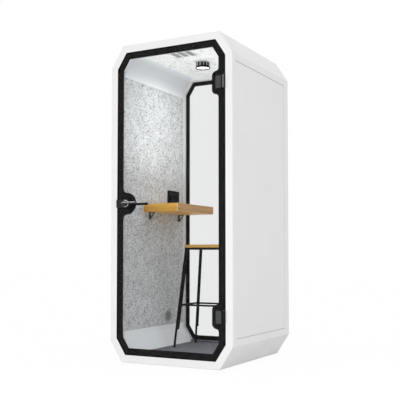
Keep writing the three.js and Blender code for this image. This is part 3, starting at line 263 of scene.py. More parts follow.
@dataclass(frozen=True)
class Finish:
    """What every finish has: its name, its slot in the record, its colour and its gloss."""

    name: str
    slot: str
    colour: Colour
    roughness: float = 0.5

    made: ClassVar[dict[str, bpy.types.Material]] = {}

    def material(self) -> bpy.types.Material:
        """Build the finish's material once.

        Returns:
            The material, ready to put on a piece.
        """
        if self.name not in self.made:
            material = bpy.data.materials.new(self.name)
            material.use_nodes = True
            material.node_tree.nodes.clear()
            sheet = NodeSheet(material.node_tree)
            shader = sheet.add("ShaderNodeBsdfPrincipled", {
                "Base Color": (*self.colour, 1.0), "Roughness": self.roughness,
            })
            output = sheet.add("ShaderNodeOutputMaterial")
            self.dress(sheet, shader)
            sheet.tree.links.new(self.surface(sheet, shader), output.inputs["Surface"])
            self.made[self.name] = material
        return self.made[self.name]

    def dress(self, sheet: NodeSheet, shader: bpy.types.Node) -> None:
        """Add the finish's own nodes.

        Args:
            sheet: the material's node sheet.
            shader: the shader that the nodes feed.
        """
        raise NotImplementedError

    def surface(self, sheet: NodeSheet, shader: bpy.types.Node) -> bpy.types.NodeSocket:
        """Give the output that the surface shows."""
        return shader.outputs["BSDF"]

    def patches(self, sheet: NodeSheet, scale: float, low: float, high: float) -> bpy.types.NodeSocket:
        """Place the handling effect.

        Args:
            sheet: the material's node sheet.
            scale: patches per metre.
            low: the least value.
            high: the greatest value.

        Returns:
            The output that changes over the surface.
        """
        group = sheet.add("ShaderNodeGroup", node_tree=EffectLibrary.handling())
        group.inputs["Scale"].default_value = scale
        group.inputs["Low"].default_value = low
        group.inputs["High"].default_value = high
        return group.outputs["Value"]

    def raise_surface(
        self, sheet: NodeSheet, shader: bpy.types.Node, height: bpy.types.NodeSocket, depth: float,
        strength: float = 0.6,
    ) -> None:
        """Bump the surface by a height.

        Args:
            sheet: the material's node sheet.
            shader: the shader whose normal is bent.
            height: the output that holds the height.
            depth: the depth of the relief.
            strength: how much of it shows.
        """
        bump = sheet.add("ShaderNodeBump", {
            "Strength": strength, "Distance": depth, "Height": height,
        })
        sheet.tree.links.new(bump.outputs["Normal"], shader.inputs["Normal"])


@dataclass(frozen=True)
class CoatFinish(Finish):
    """Paint, powder coat, moulded plastic or rubber: one colour with fine texture and soft patches."""

    metallic: float = 0.0
    shine: float = 0.5
    clear_coat: float = 0.0
    fade: float = 0.05
    gloss_spread: float = 0.08
    patch_scale: float = 7.0
    pebble_scale: float = 700.0
    pebble_depth: float = 0.05 * MM

    def dress(self, sheet: NodeSheet, shader: bpy.types.Node) -> None:
        """Vary colour and gloss in patches, and raise the fine texture."""
        shader.inputs["Metallic"].default_value = self.metallic
        shader.inputs["Specular IOR Level"].default_value = self.shine
        shader.inputs["Coat Weight"].default_value = self.clear_coat
        shader.inputs["Coat Roughness"].default_value = 0.15
        tone = self.patches(sheet, self.patch_scale * 0.6, 0.0, 1.0)
        deep = tuple(channel * (1 - self.fade) for channel in self.colour)
        sheet.tree.links.new(sheet.blend(tone, self.colour, deep), shader.inputs["Base Color"])
        gloss = self.patches(
            sheet, self.patch_scale, self.roughness - self.gloss_spread, self.roughness + self.gloss_spread
        )
        sheet.tree.links.new(gloss, shader.inputs["Roughness"])
        grain = sheet.add("ShaderNodeGroup", node_tree=EffectLibrary.pebble())
        grain.inputs["Scale"].default_value = self.pebble_scale
        self.raise_surface(sheet, shader, grain.outputs["Height"], self.pebble_depth)


@dataclass(frozen=True)
class GradedFinish(CoatFinish):
    """A painted sheet whose tone changes with height; on the coves this grade is painted shade on the downward
    slope and painted light on the upright foot.
    """

    tones: tuple[tuple[float, Colour], ...] = ()

    def dress(self, sheet: NodeSheet, shader: bpy.types.Node) -> None:
        """Add the paint's texture, then grade its colour from the lowest tone to the highest."""
        super().dress(sheet, shader)
        low, high = self.tones[0][0], self.tones[-1][0]
        place = sheet.add("ShaderNodeTexCoord")
        axes = sheet.add("ShaderNodeSeparateXYZ", {"Vector": place.outputs["Object"]})
        rise = sheet.add("ShaderNodeMapRange", {
            "Value": axes.outputs["Z"], "From Min": low, "From Max": high,
        })
        ramp = sheet.add("ShaderNodeValToRGB", {"Fac": rise.outputs["Result"]})
        stops = ramp.color_ramp.elements
        while len(stops) < len(self.tones):
            stops.new(0.5)
        for stop, (level, colour) in zip(stops, self.tones):
            stop.position = (level - low) / (high - low)
            stop.color = (*colour, 1.0)
        sheet.tree.links.new(ramp.outputs["Color"], shader.inputs["Base Color"])


@dataclass(frozen=True)
class FibreFinish(Finish):
    """Pressed felt or short pile: clouds, dark specks and raised fibres."""

    cloud: Colour = (0.5, 0.5, 0.5)
    speck: Colour = (0.2, 0.2, 0.2)
    cloud_scale: float = 5.0
    speck_scale: float = 120.0
    speck_level: float = 0.45
    speck_spread: float = 0.1
    speck_cover: float = 0.8
    fibre_scale: float = 900.0
    fibre_depth: float = 0.4 * MM

    def dress(self, sheet: NodeSheet, shader: bpy.types.Node) -> None:
        """Blend the clouds and specks into the colour, and raise the fibres."""
        shader.inputs["Specular IOR Level"].default_value = 0.15
        shader.inputs["Sheen Weight"].default_value = 0.15
        shader.inputs["Sheen Roughness"].default_value = 0.6
        group = sheet.add("ShaderNodeGroup", node_tree=EffectLibrary.fibres())
        group.inputs["Cloud Scale"].default_value = self.cloud_scale
        group.inputs["Speck Scale"].default_value = self.speck_scale
        group.inputs["Speck Level"].default_value = self.speck_level
        group.inputs["Speck Spread"].default_value = self.speck_spread
        group.inputs["Fibre Scale"].default_value = self.fibre_scale
        tone = sheet.add("ShaderNodeMath", {
            0: group.outputs["Height"], 1: 0.4, 2: group.outputs["Cloud"],
        }, operation="MULTIPLY_ADD")
        ground = sheet.add("ShaderNodeValToRGB", {"Fac": tone.outputs["Value"]})
        ground.color_ramp.elements[0].position = 0.52
        ground.color_ramp.elements[0].color = (*self.cloud, 1.0)
        ground.color_ramp.elements[1].position = 0.88
        ground.color_ramp.elements[1].color = (*self.colour, 1.0)
        cover = sheet.add("ShaderNodeMath", {
            0: group.outputs["Speck"], 1: self.speck_cover,
        }, operation="MULTIPLY")
        mixed = sheet.add("ShaderNodeMixRGB", {
            "Fac": cover.outputs["Value"], "Color1": ground.outputs["Color"],
            "Color2": (*self.speck, 1.0),
        })
        sheet.tree.links.new(mixed.outputs["Color"], shader.inputs["Base Color"])
        self.raise_surface(sheet, shader, group.outputs["Height"], self.fibre_depth)


@dataclass(frozen=True)
class WoodFinish(Finish):
    """Oiled golden wood with grain along one way."""

    dark: Colour = (0.3, 0.15, 0.03)
    grain: Grain = Grain.DEEP
    pore_depth: float = 0.12 * MM

    def dress(self, sheet: NodeSheet, shader: bpy.types.Node) -> None:
        """Draw the grain, its pores and its gloss."""
        place = sheet.add("ShaderNodeTexCoord")
        stretch = sheet.add("ShaderNodeMapping", {
            "Vector": place.outputs["Object"], "Scale": self.grain.value,
        })
        bands = sheet.add("ShaderNodeTexNoise", {
            "Vector": stretch.outputs["Vector"], "Scale": 1.0, "Detail": 5.0, "Roughness": 0.6,
            "Distortion": 0.8,
        })
        pores = sheet.add("ShaderNodeTexNoise", {
            "Vector": stretch.outputs["Vector"], "Scale": 9.0, "Detail": 3.0, "Roughness": 0.7,
        })
        both = sheet.add("ShaderNodeMath", {
            0: pores.outputs["Fac"], 1: 0.35, 2: bands.outputs["Fac"],
        }, operation="MULTIPLY_ADD")
        ramp = sheet.add("ShaderNodeValToRGB", {"Fac": both.outputs["Value"]})
        ramp.color_ramp.elements[0].position = 0.46
        ramp.color_ramp.elements[0].color = (*self.dark, 1.0)
        ramp.color_ramp.elements[1].position = 0.78
        ramp.color_ramp.elements[1].color = (*self.colour, 1.0)
        sheet.tree.links.new(ramp.outputs["Color"], shader.inputs["Base Color"])
        gloss = sheet.add("ShaderNodeMapRange", {
            "Value": pores.outputs["Fac"], "From Min": 0.3, "From Max": 0.7,
            "To Min": self.roughness + 0.12, "To Max": self.roughness - 0.06,
        })
        sheet.tree.links.new(gloss.outputs["Result"], shader.inputs["Roughness"])
        self.raise_surface(sheet, shader, pores.outputs["Fac"], self.pore_depth, 0.35)


@dataclass(frozen=True)
class MetalFinish(Finish):
    """Bare or plated metal with fine polishing lines."""

    line_scale: float = 260.0
    line_depth: float = 0.01 * MM

    def dress(self, sheet: NodeSheet, shader: bpy.types.Node) -> None:
        """Vary the polish and raise the lines."""
        shader.inputs["Metallic"].default_value = 1.0
        gloss = self.patches(sheet, 25.0, self.roughness * 0.7, self.roughness * 1.4)
        sheet.tree.links.new(gloss, shader.inputs["Roughness"])
        place = sheet.add("ShaderNodeTexCoord")
        stretch = sheet.add("ShaderNodeMapping", {
            "Vector": place.outputs["Object"], "Scale": (1.0, 1.0, 14.0),
        })
        lines = sheet.add("ShaderNodeTexNoise", {
            "Vector": stretch.outputs["Vector"], "Scale": self.line_scale, "Detail": 2.0,
        })
        self.raise_surface(sheet, shader, lines.outputs["Fac"], self.line_depth, 0.3)


@dataclass(frozen=True)
class GlassFinish(Finish):
    """Clear safety glass that lamps shine through."""

    bend: float = 1.1

    def dress(self, sheet: NodeSheet, shader: bpy.types.Node) -> None:
        """Let light through, with faint wiping marks in the gloss."""
        shader.inputs["Transmission Weight"].default_value = 1.0
        shader.inputs["IOR"].default_value = self.bend
        gloss = self.patches(sheet, 4.0, 0.0, self.roughness)
        sheet.tree.links.new(gloss, shader.inputs["Roughness"])

    def surface(self, sheet: NodeSheet, shader: bpy.types.Node) -> bpy.types.NodeSocket:
        """Give lamps and soft light a clear way through the pane.

        Args:
            sheet: the material's node sheet.
            shader: the glass shader.

        Returns:
            The output that the surface shows.
        """
        clear = sheet.add("ShaderNodeBsdfTransparent", {"Color": (*self.colour, 1.0)})
        rays = sheet.add("ShaderNodeLightPath")
        soft = sheet.add("ShaderNodeMath", {
            0: rays.outputs["Is Shadow Ray"], 1: rays.outputs["Is Diffuse Ray"],
        }, operation="MAXIMUM")
        mix = sheet.add("ShaderNodeMixShader", {
            0: soft.outputs["Value"], 1: shader.outputs["BSDF"], 2: clear.outputs["BSDF"],
        })
        return mix.outputs["Shader"]


@dataclass(frozen=True)
class OpalFinish(Finish):
    """Lit opal cover of a lamp, a little dimmer in soft patches."""

    glow: float = 1.0

    def dress(self, sheet: NodeSheet, shader: bpy.types.Node) -> None:
        """Make the cover glow, with a faint unevenness."""
        shader.inputs["Emission Strength"].default_value = self.glow
        tone = self.patches(sheet, 30.0, 0.0, 1.0)
        rim = tuple(channel * 0.93 for channel in self.colour)
        sheet.tree.links.new(sheet.blend(tone, self.colour, rim), shader.inputs["Emission Color"])


SHELL_WHITE = CoatFinish("shell_white_paint", "shell_white", linear(241, 241, 241), 0.45, fade=0.02)
# Cove tones are painted shade and light: darker on the downward-facing slope, lighter at the upright foot and at
# the top edge.
COVE_PAINTED_SHADE = GradedFinish(
    "cove_white_sheet", "lining_white", linear(214, 218, 224), 0.55, tones=(
        (2.088, linear(226, 229, 231)), (2.125, linear(208, 212, 216)), (2.160, linear(199, 203, 208)),
        (2.215, linear(203, 207, 211)), (2.247, linear(222, 225, 227)),
    ),
)
SKIRT_WHITE = GradedFinish(
    "skirt_white_sheet", "lining_white", linear(230, 233, 238), 0.55, tones=(
        (0.060, linear(230, 233, 237)), (0.176, linear(230, 233, 237)), (0.183, linear(243, 246, 248)),
        (0.216, linear(243, 246, 248)),
    ),
)
CEILING_WHITE = FibreFinish(
    "ceiling_board", "ceiling_white", linear(251, 252, 252), 0.9, cloud=linear(236, 239, 239),
    speck=linear(166, 172, 172), cloud_scale=12.0, speck_scale=75.0, speck_level=0.43, speck_cover=0.7,
    fibre_depth=0.1 * MM,
)
FELT_GREY = FibreFinish(
    "mottled_felt", "felt_grey", linear(217, 219, 219), 0.95, cloud=linear(203, 205, 206),
    speck=linear(143, 145, 148), cloud_scale=20.0, speck_scale=100.0, speck_level=0.30, speck_spread=0.26,
    speck_cover=1.0,
)
CARPET_GREY = FibreFinish(
    "floor_carpet_pile", "carpet_grey", linear(98, 100, 108), 0.98, cloud=linear(84, 86, 93),
    speck=linear(52, 54, 60), cloud_scale=14.0, speck_scale=240.0, speck_level=0.42, fibre_scale=700.0,
    fibre_depth=1.2 * MM,
)
CORE_GREY = FibreFinish(
    "wool_core", "acoustic_core", linear(150, 152, 154), 0.95, cloud=linear(130, 132, 134),
    speck=linear(100, 102, 104),
)
DECK_WOOD = WoodFinish("deck_board", "deck_board", linear(178, 148, 104), 0.75, dark=linear(140, 110, 70))
GOLDEN_WOOD = WoodFinish(
    "golden_wood_across", "golden_wood", linear(252, 197, 93), 0.42, dark=linear(188, 122, 39),
    grain=Grain.ACROSS,
)
SEAT_WOOD = WoodFinish(
    "golden_wood_seat", "golden_wood", linear(224, 179, 98), 0.42, dark=linear(180, 131, 58),
    grain=Grain.ACROSS,
)
# Paler wood for the rounded front corner of the desk: a painted highlight.
CORNER_PAINTED_HIGHLIGHT = WoodFinish(
    "golden_wood_corner", "golden_wood", linear(246, 214, 150), 0.4, dark=linear(222, 180, 108),
    grain=Grain.ACROSS,
)
EDGE_WOOD = WoodFinish(
    "golden_wood_edge", "golden_wood", linear(208, 162, 105), 0.45, dark=linear(164, 121, 73),
)
CLEAR_GLASS = GlassFinish("clear_safety_glass", "clear_glass", (0.9, 0.905, 0.905), 0.02)
BORDER_BLACK = CoatFinish(
    "fired_border_print", "border_black", linear(23, 23, 23), 0.4, fade=0.15, shine=0.1,
    pebble_depth=0.01 * MM,
)
SEAL_BLACK = CoatFinish("sealing_rubber", "seal_rubber", linear(10, 10, 10), 0.8, fade=0.2, shine=0.1)
HINGE_GREY = CoatFinish(
    "hinge_satin_grey", "hinge_grey", linear(78, 79, 82), 0.38, metallic=0.6, fade=0.1, shine=0.2,
    pebble_scale=1500.0, pebble_depth=0.02 * MM,
)
# Lighter satin grey of the knuckles and pins, which also carries a painted sheen.
KNUCKLE_PAINTED_SHEEN = CoatFinish(
    "knuckle_satin_grey", "hinge_grey", linear(108, 109, 112), 0.35, metallic=0.6, fade=0.1, shine=0.2,
    pebble_scale=1500.0, pebble_depth=0.02 * MM,
)
LOCK_GREY = CoatFinish(
    "lock_satin_charcoal", "lock_grey", linear(38, 39, 41), 0.42, fade=0.1, shine=0.15,
    pebble_scale=1500.0, pebble_depth=0.02 * MM,
)
LEVER_BLACK = CoatFinish(
    "lever_gloss_black", "lever_black", linear(20, 20, 20), 0.24, shine=0.5,
    pebble_depth=0.008 * MM,
)
BLACK_METAL = CoatFinish(
    "black_powder_coat", "black_metal", linear(22, 22, 23), 0.5, fade=0.12, shine=0.15,
    pebble_scale=1300.0,
)
BRACKET_BLACK = CoatFinish(
    "bracket_powder_coat", "black_metal", linear(74, 74, 74), 0.5, fade=0.12, shine=0.2,
    pebble_scale=1300.0,
)
BLACK_PLASTIC = CoatFinish(
    "black_moulded_plastic", "black_plastic", linear(10, 10, 11), 0.45, fade=0.12, shine=0.08,
    pebble_scale=1600.0,
)
GREY_PLASTIC = CoatFinish(
    "grey_moulded_plastic", "grey_plastic", linear(172, 175, 175), 0.6, fade=0.1, pebble_scale=1200.0,
)
MESH_GREY = CoatFinish(
    "slot_mesh_enamel", "grey_plastic", linear(168, 171, 171), 0.5, fade=0.06, pebble_scale=1200.0,
)
CHROME = MetalFinish("rose_satin_chrome", "rose_chrome", (0.52, 0.53, 0.55), 0.2)
STEEL = MetalFinish("ground_steel", "bare_steel", (0.56, 0.57, 0.6), 0.32, line_depth=0.03 * MM)
OPAL = OpalFinish("lamp_opal", "opal_diffuser", (1.0, 0.995, 0.985), 0.4)


class Bench:
    """Modelling calls that the sub-assemblies share."""

    @staticmethod
    def take(piece: bpy.types.Object) -> bpy.types.Object:
        """Select one piece alone and make it active."""
        bpy.ops.object.select_all(action="DESELECT")
        piece.select_set(True)
        bpy.context.view_layer.objects.active = piece
        return piece

    @staticmethod
    def copy_node(node: str, name: str) -> bpy.types.Object:
        """Copy a node's mesh as a piece with whole faces.

        Args:
            node: the node that is copied.
            name: the new piece's name.

        Returns:
            The new piece, with its vertices merged and its flat triangles joined.
        """
        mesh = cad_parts[node].data.copy()
        mesh.materials.clear()
        piece = bpy.data.objects.new(name, mesh)
        bpy.context.scene.collection.objects.link(piece)
        Bench.take(piece)
        bpy.ops.mesh.customdata_custom_splitnormals_clear()
        bpy.ops.object.mode_set(mode="EDIT")
        bpy.ops.mesh.select_all(action="SELECT")
        bpy.ops.mesh.remove_doubles(threshold=MERGE_DISTANCE)
        bpy.ops.mesh.dissolve_limited(angle_limit=FLAT_ANGLE)
        bpy.ops.object.mode_set(mode="OBJECT")
        return piece

    @staticmethod
    def round_edges(
        piece: bpy.types.Object, width: float, segments: int = 2, weight: EdgeWeight | None = None
    ) -> None:
        """Round a piece's edges.

        Args:
            piece: the piece.
            width: the width of the rounding.
            segments: its steps.
            weight: the share of the width for an edge, by its ends; without it, every sharp edge.
        """
        Bench.take(piece)
        bevel = piece.modifiers.new("rounding", "BEVEL")
        bevel.width = width
        bevel.segments = segments
        bevel.limit_method = "ANGLE"
        bevel.angle_limit = BEVEL_ANGLE
        if weight is not None:
            Bench.weigh_edges(piece, weight)
            bevel.limit_method = "WEIGHT"
            bevel.use_clamp_overlap = False
        bpy.ops.object.modifier_apply(modifier=bevel.name)

    @staticmethod
    def weigh_edges(piece: bpy.types.Object, weight: EdgeWeight) -> None:
        """Store each edge's share of the rounding's width.

        Args:
            piece: the piece.
            weight: gives the share for an edge from its two ends.
        """
        mesh = piece.data
        shares = mesh.attributes.new("bevel_weight_edge", "FLOAT", "EDGE")
        for edge in mesh.edges:
            first, second = (mesh.vertices[index].co for index in edge.vertices)
            shares.data[edge.index].value = weight(first, second)

    @staticmethod
    def smooth(piece: bpy.types.Object) -> None:
        """Shade round stretches smooth and keep the flats flat."""
        Bench.take(piece)
        bpy.ops.object.shade_smooth_by_angle(angle=SHARP_ANGLE)
        normals = piece.modifiers.new("flat_faces", "WEIGHTED_NORMAL")
        normals.keep_sharp = True
        bpy.ops.object.modifier_apply(modifier=normals.name)

    @staticmethod
    def settle(piece: bpy.types.Object) -> None:
        """Put a piece's place, turn and size into its mesh."""
        Bench.take(piece)
        bpy.ops.object.transform_apply(location=True, rotation=True, scale=True)

    @staticmethod
    def select_faces(piece: bpy.types.Object, test: Callable[[bpy.types.MeshPolygon], bool]) -> None:
        """Enter edit mode with only the faces that pass a test selected.

        Args:
            piece: the piece.
            test: says whether a face is selected.
        """
        Bench.take(piece)
        bpy.ops.object.mode_set(mode="EDIT")
        bpy.ops.mesh.select_mode(type="FACE")
        bpy.ops.mesh.select_all(action="DESELECT")
        bpy.ops.object.mode_set(mode="OBJECT")
        for face in piece.data.polygons:
            face.select = test(face)
        bpy.ops.object.mode_set(mode="EDIT")

    @staticmethod
    def rod(name: str, start: Vector, end: Vector, radius: float) -> bpy.types.Object:
        """Make a round rod with softened ends.

        Args:
            name: the piece's name.
            start: the middle of its first end.
            end: the middle of its second end.
            radius: its radius.

        Returns:
            The rod.
        """
        along = end - start
        turn = along.to_track_quat("Z", "Y").to_euler()
        bpy.ops.object.select_all(action="DESELECT")
        bpy.ops.mesh.primitive_cylinder_add(
            vertices=ROUND_SIDES, radius=radius, depth=along.length, location=(start + end) / 2,
            rotation=turn,
        )
        piece = bpy.context.active_object
        piece.name = name
        piece.data.name = name
        Bench.settle(piece)
        Bench.round_edges(piece, radius * 0.2)
        return piece

    @staticmethod
    def unite(name: str, pieces: list[bpy.types.Object]) -> bpy.types.Object:
        """Join several meshes into one piece.

        Args:
            name: the joined piece's name.
            pieces: the meshes.

        Returns:
            The joined piece.
        """
        bpy.ops.object.select_all(action="DESELECT")
        for piece in pieces:
            piece.select_set(True)
        bpy.context.view_layer.objects.active = pieces[0]
        bpy.ops.object.join()
        pieces[0].name = name
        pieces[0].data.name = name
        return pieces[0]


@dataclass
class SubAssembly:
    """Pieces that a maker would put together on one bench."""

    def dress(self, node: str, finish: Finish) -> None:
        """Give a node that keeps its shape a finish.

        Args:
            node: the node.
            finish: its finish.
        """
        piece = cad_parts[node]
        piece.data.materials.clear()
        piece.data.materials.append(finish.material())
        LOG.info("%s: dressed with %s", node, finish.name)

    def round_node(
        self, node: str, body: Body, finish: Finish, width: float, segments: int = 2,
        weight: EdgeWeight | None = None,
    ) -> bpy.types.Object:
        """Replace a node by a copy with rounded edges.

        Args:
            node: the node.
            body: the body that it rides on.
            finish: its finish.
            width: the width of the rounding.
            segments: the rounding's steps.
            weight: the share of the width for an edge, by its ends.

        Returns:
            The copy.
        """
        piece = Bench.copy_node(node, f"{node}_rounded")
        Bench.round_edges(piece, width, segments, weight)
        Bench.smooth(piece)
        return self.place(piece, body, finish, [node])

    def place(
        self, piece: bpy.types.Object, body: Body, finish: Finish, replaced: Iterable[str] = ()
    ) -> bpy.types.Object:
        """Finish a piece and let it ride on its body.

        Args:
            piece: the piece.
            body: the body.
            finish: its finish.
            replaced: the nodes that it stands for.

        Returns:
            The same piece.
        """
        piece.data.materials.clear()
        piece.data.materials.append(finish.material())
        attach(piece, body.value)
        for node in replaced:
            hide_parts(node)
        LOG.info("%s: rides on %s in %s", piece.name, body.value, finish.name)
        return piece


@dataclass
class Shell(SubAssembly):
    """White outer shell: two end frames, roof, base and side panels."""

    corner_round: float = 5 * MM
    seam_share: float = 0.25
    rebate_share: float = 0.3
    panel_round: float = 1.2 * MM
    rebate_depth: float = 16 * MM
    near: float = 0.5 * MM
    near_level: float = 0.1

    def __post_init__(self) -> None:
        """Read the shell's outer planes from the frame."""
        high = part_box("front_frame")[1]
        self.half_width = high.x
        self.height = high.z
        self.roof_flat = self._brow()
        self.shoulder = self._shoulder()

    def _brow(self) -> float:
        """Half the width of the flat roof."""
        points = [v.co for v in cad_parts["roof_shell"].data.vertices]
        return max(point.x for point in points if point.z > self.height - self.near)

    def _shoulder(self) -> float:
        """The height where the side meets the upper chamfer."""
        points = [v.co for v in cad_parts["roof_shell"].data.vertices]
        return max(point.z for point in points if point.x > self.half_width - self.near)

    def on_corner(self, point: Vector) -> bool:
        """Say whether a point lies on one of the eight outer corners.

        Args:
            point: the point.

        Returns:
            True on a corner line that runs from front to rear.
        """
        across = abs(point.x)
        up = max(point.z, self.height - point.z)
        on_brow = abs(across - self.roof_flat) < self.near and up > self.height - self.near
        on_shoulder = across > self.half_width - self.near and abs(up - self.shoulder) < self.near
        return on_brow or on_shoulder

    def frame_weight(self, outside: float) -> EdgeWeight:
        """Make the rounding rule of an end frame.

        Args:
            outside: the Y of the frame's glazed face.

        Returns:
            The share of the rounding for an edge.
        """

        def weight(first: Vector, second: Vector) -> float:
            """Round outer corners fully, the rebate's rim less and the seam least."""
            on_face = abs(first.y - outside) < self.near and abs(second.y - outside) < self.near
            if self.on_corner(first) and self.on_corner(second):
                level = abs(first.y - second.y) < self.near
                return self.seam_share if level and not on_face else 1.0
            return self.rebate_share if on_face else 0.0

        return weight

    def line_rebate_with_gap_shadow(self, end: bpy.types.Object, outside: float) -> None:
        """Line the rebate round the glass with black rubber strip, which is also painted shadow of the gap round
        the pane, the front jambs with felt and the sills with pile.

        Args:
            end: the end frame.
            outside: the Y of its glazed face.
        """
        end.data.materials.append(SEAL_BLACK.material())
        end.data.materials.append((FELT_GREY if outside < 0 else SHELL_WHITE).material())
        end.data.materials.append(CARPET_GREY.material())
        for face in end.data.polygons:
            depth = abs(face.center.y - outside)
            inward = face.normal.x * face.center.x + face.normal.z * (face.center.z - self.height / 2) < 0
            wall = inward and abs(face.normal.y) < self.near_level
            floor = depth > self.near and abs(face.normal.y) > 1 - self.near_level
            # Rebate walls and floors near the glass turn black: partly a rubber strip, partly painted shadow of
            # the gap.
            if depth < self.rebate_depth and (wall or floor):
                face.material_index = 1
            elif wall and abs(face.normal.x) > 1 - self.near_level:
                face.material_index = 2
            elif wall and face.normal.z > 1 - self.near_level:
                face.material_index = 3

    def cap_weight(self, first: Vector, second: Vector) -> float:
        """Round the roof's and base's long corners fully and their ends a little."""
        if not (self.on_corner(first) and self.on_corner(second)):
            return 0.0
        return self.seam_share if abs(first.y - second.y) < self.near else 1.0

    def build(self) -> None:
        """Round and paint the shell's pieces."""
        fronts = {"front_frame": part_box("front_frame")[0].y, "rear_frame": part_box("rear_frame")[1].y}
        for node, outside in fronts.items():
            end = self.round_node(
                node, Body.CABIN, SHELL_WHITE, self.corner_round, 3, self.frame_weight(outside)
            )
            self.line_rebate_with_gap_shadow(end, outside)
        for node in ("roof_shell", "base_shell"):
            self.round_node(node, Body.CABIN, SHELL_WHITE, self.corner_round, 3, self.cap_weight)
        for node in ("left_side_panel", "right_side_panel"):
            self.round_node(node, Body.CABIN, SHELL_WHITE, self.panel_round)
        for node in ("left_wall_core", "right_wall_core", "roof_core"):
            self.dress(node, CORE_GREY)


@dataclass
class Lining(SubAssembly):
    """Inner lining: felt walls, white coves and skirts, ceiling, deck and carpet."""

    felt_round: float = 4.0 * MM
    sheet_round: float = 1.5 * MM
    cove_bend: float = 40 * MM
    cove_steps: int = 6
    sill_height: float = 11 * MM
    sill_depth: float = 1.5 * MM
    sill_gap: float = 0.1 * MM
    ceiling_round: float = 1.5 * MM

    @staticmethod
    def cove_weight(node: str) -> EdgeWeight:
        """Make the bending rule of a cove.

        Args:
            node: the cove.

        Returns:
            The share of the bend for an edge: all of it where the slope meets the upright.
        """
        low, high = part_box(node)
        margin = 0.5 * MM

        def weight(first: Vector, second: Vector) -> float:
            """Bend only the two long edges between the cove's foot and its top."""
            along = abs(first.y - second.y) > margin
            between = all(low.z + margin < point.z < high.z - margin for point in (first, second))
            return 1.0 if along and between else 0.0

        return weight

    def build(self) -> None:
        """Round and dress the lining's pieces."""
        for side in ("left", "right"):
            self.round_node(f"{side}_felt_panel", Body.CABIN, FELT_GREY, self.felt_round, 3)
            # The coves' colour is graded by height as painted shade and light.
            self.round_node(
                f"{side}_cove", Body.CABIN, COVE_PAINTED_SHADE, self.cove_bend, self.cove_steps,
                self.cove_weight(f"{side}_cove"),
            )
            self.round_node(f"{side}_skirt", Body.CABIN, SKIRT_WHITE, self.sheet_round)
        self.round_node("ceiling_panel", Body.CABIN, CEILING_WHITE, self.ceiling_round)
        self.round_node("floor_carpet", Body.CABIN, CARPET_GREY, self.sheet_round)
        self.dress("floor_deck", DECK_WOOD)
        self.build_sill()

    def build_sill(self) -> None:
        """Turn the carpet up the rear frame as a low strip."""
        low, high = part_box("floor_carpet")
        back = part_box("rear_frame")[0].y - self.sill_gap
        bpy.ops.object.select_all(action="DESELECT")
        bpy.ops.mesh.primitive_cube_add(size=1.0, location=(
            (low.x + high.x) / 2, back - self.sill_depth / 2, high.z + self.sill_gap + self.sill_height / 2,
        ))
        strip = bpy.context.active_object
        strip.name = "carpet_sill_strip"
        strip.data.name = strip.name
        strip.scale = (high.x - low.x, self.sill_depth, self.sill_height)
        Bench.settle(strip)
        Bench.round_edges(strip, self.sill_depth * 0.4)
        Bench.smooth(strip)
        self.place(strip, Body.CABIN, CARPET_GREY)


@dataclass
class Glazing(SubAssembly):
    """Glass, printed borders and seals of the door and the rear window."""

    arris: float = 1.0 * MM

    def build(self) -> None:
        """Grind the panes' edges and dress the borders and seals."""
        self.round_node("door_glass", Body.DOOR, CLEAR_GLASS, self.arris)
        self.round_node("rear_glass", Body.CABIN, CLEAR_GLASS, self.arris)
        for side in ("door", "rear"):
            self.dress(f"{side}_border", BORDER_BLACK)
            self.dress(f"{side}_seal", SEAL_BLACK)


@dataclass
class Hinges(SubAssembly):
    """Two door hinges with clamps, back plates, leaves, pins and clamping screws."""

    edge: float = 0.9 * MM
    screw_radius: float = 4.2 * MM
    screw_height: float = 2.0 * MM
    screw_spacing: float = 52 * MM
    knuckle_margin: float = 0.3 * MM

    def build(self) -> None:
        """Round the hinge plates, give the arms and leaves a black coat, paint the knuckles' reflection and add
        the screws on the inner side.
        """
        for name in ("upper", "lower"):
            clamp = self.round_node(f"{name}_hinge_clamp", Body.DOOR, HINGE_GREY, self.edge)
            self.round_node(f"{name}_hinge_back_plate", Body.DOOR, HINGE_GREY, self.edge)
            leaf = self.round_node(f"{name}_hinge_leaf", Body.CABIN, HINGE_GREY, self.edge)
            self.round_node(f"{name}_hinge_pin", Body.CABIN, KNUCKLE_PAINTED_SHEEN, self.edge)
            for piece in (clamp, leaf):
                self.paint_knuckle_reflection_and_black_arms(piece, name)
            low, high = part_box(f"{name}_hinge_back_plate")
            middle = (low + high) / 2
            for label, side in (("low", -0.5), ("high", 0.5)):
                seat = Vector((middle.x, high.y, middle.z + side * self.screw_spacing))
                screw = Fastener(self.screw_radius, self.screw_height).make(
                    f"{name}_hinge_screw_{label}", seat, Vector((0, 1, 0))
                )
                self.place(screw, Body.DOOR, STEEL)

    def paint_knuckle_reflection_and_black_arms(self, piece: bpy.types.Object, name: str) -> None:
        """Give the upper knuckles a lighter grey as painted sheen, the lower knuckles black as painted dark
        reflection, and the arms and let-in leaves a black coat.

        Args:
            piece: the clamp or the leaf.
            name: upper or lower.
        """
        # Painted reflection: lighter sheen on the upper knuckles, black on the lower ones.
        knuckle = KNUCKLE_PAINTED_SHEEN if name == "upper" else BLACK_METAL
        piece.data.materials.append(knuckle.material())
        piece.data.materials.append(BLACK_METAL.material())
        pin_low, pin_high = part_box(f"{name}_hinge_pin")
        plate_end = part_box(f"{name}_hinge_back_plate")[1].x
        for face in piece.data.polygons:
            across = face.center.x
            if pin_low.x - self.knuckle_margin < across < pin_high.x + self.knuckle_margin:
                face.material_index = 1
            elif across > plate_end:
                face.material_index = 2


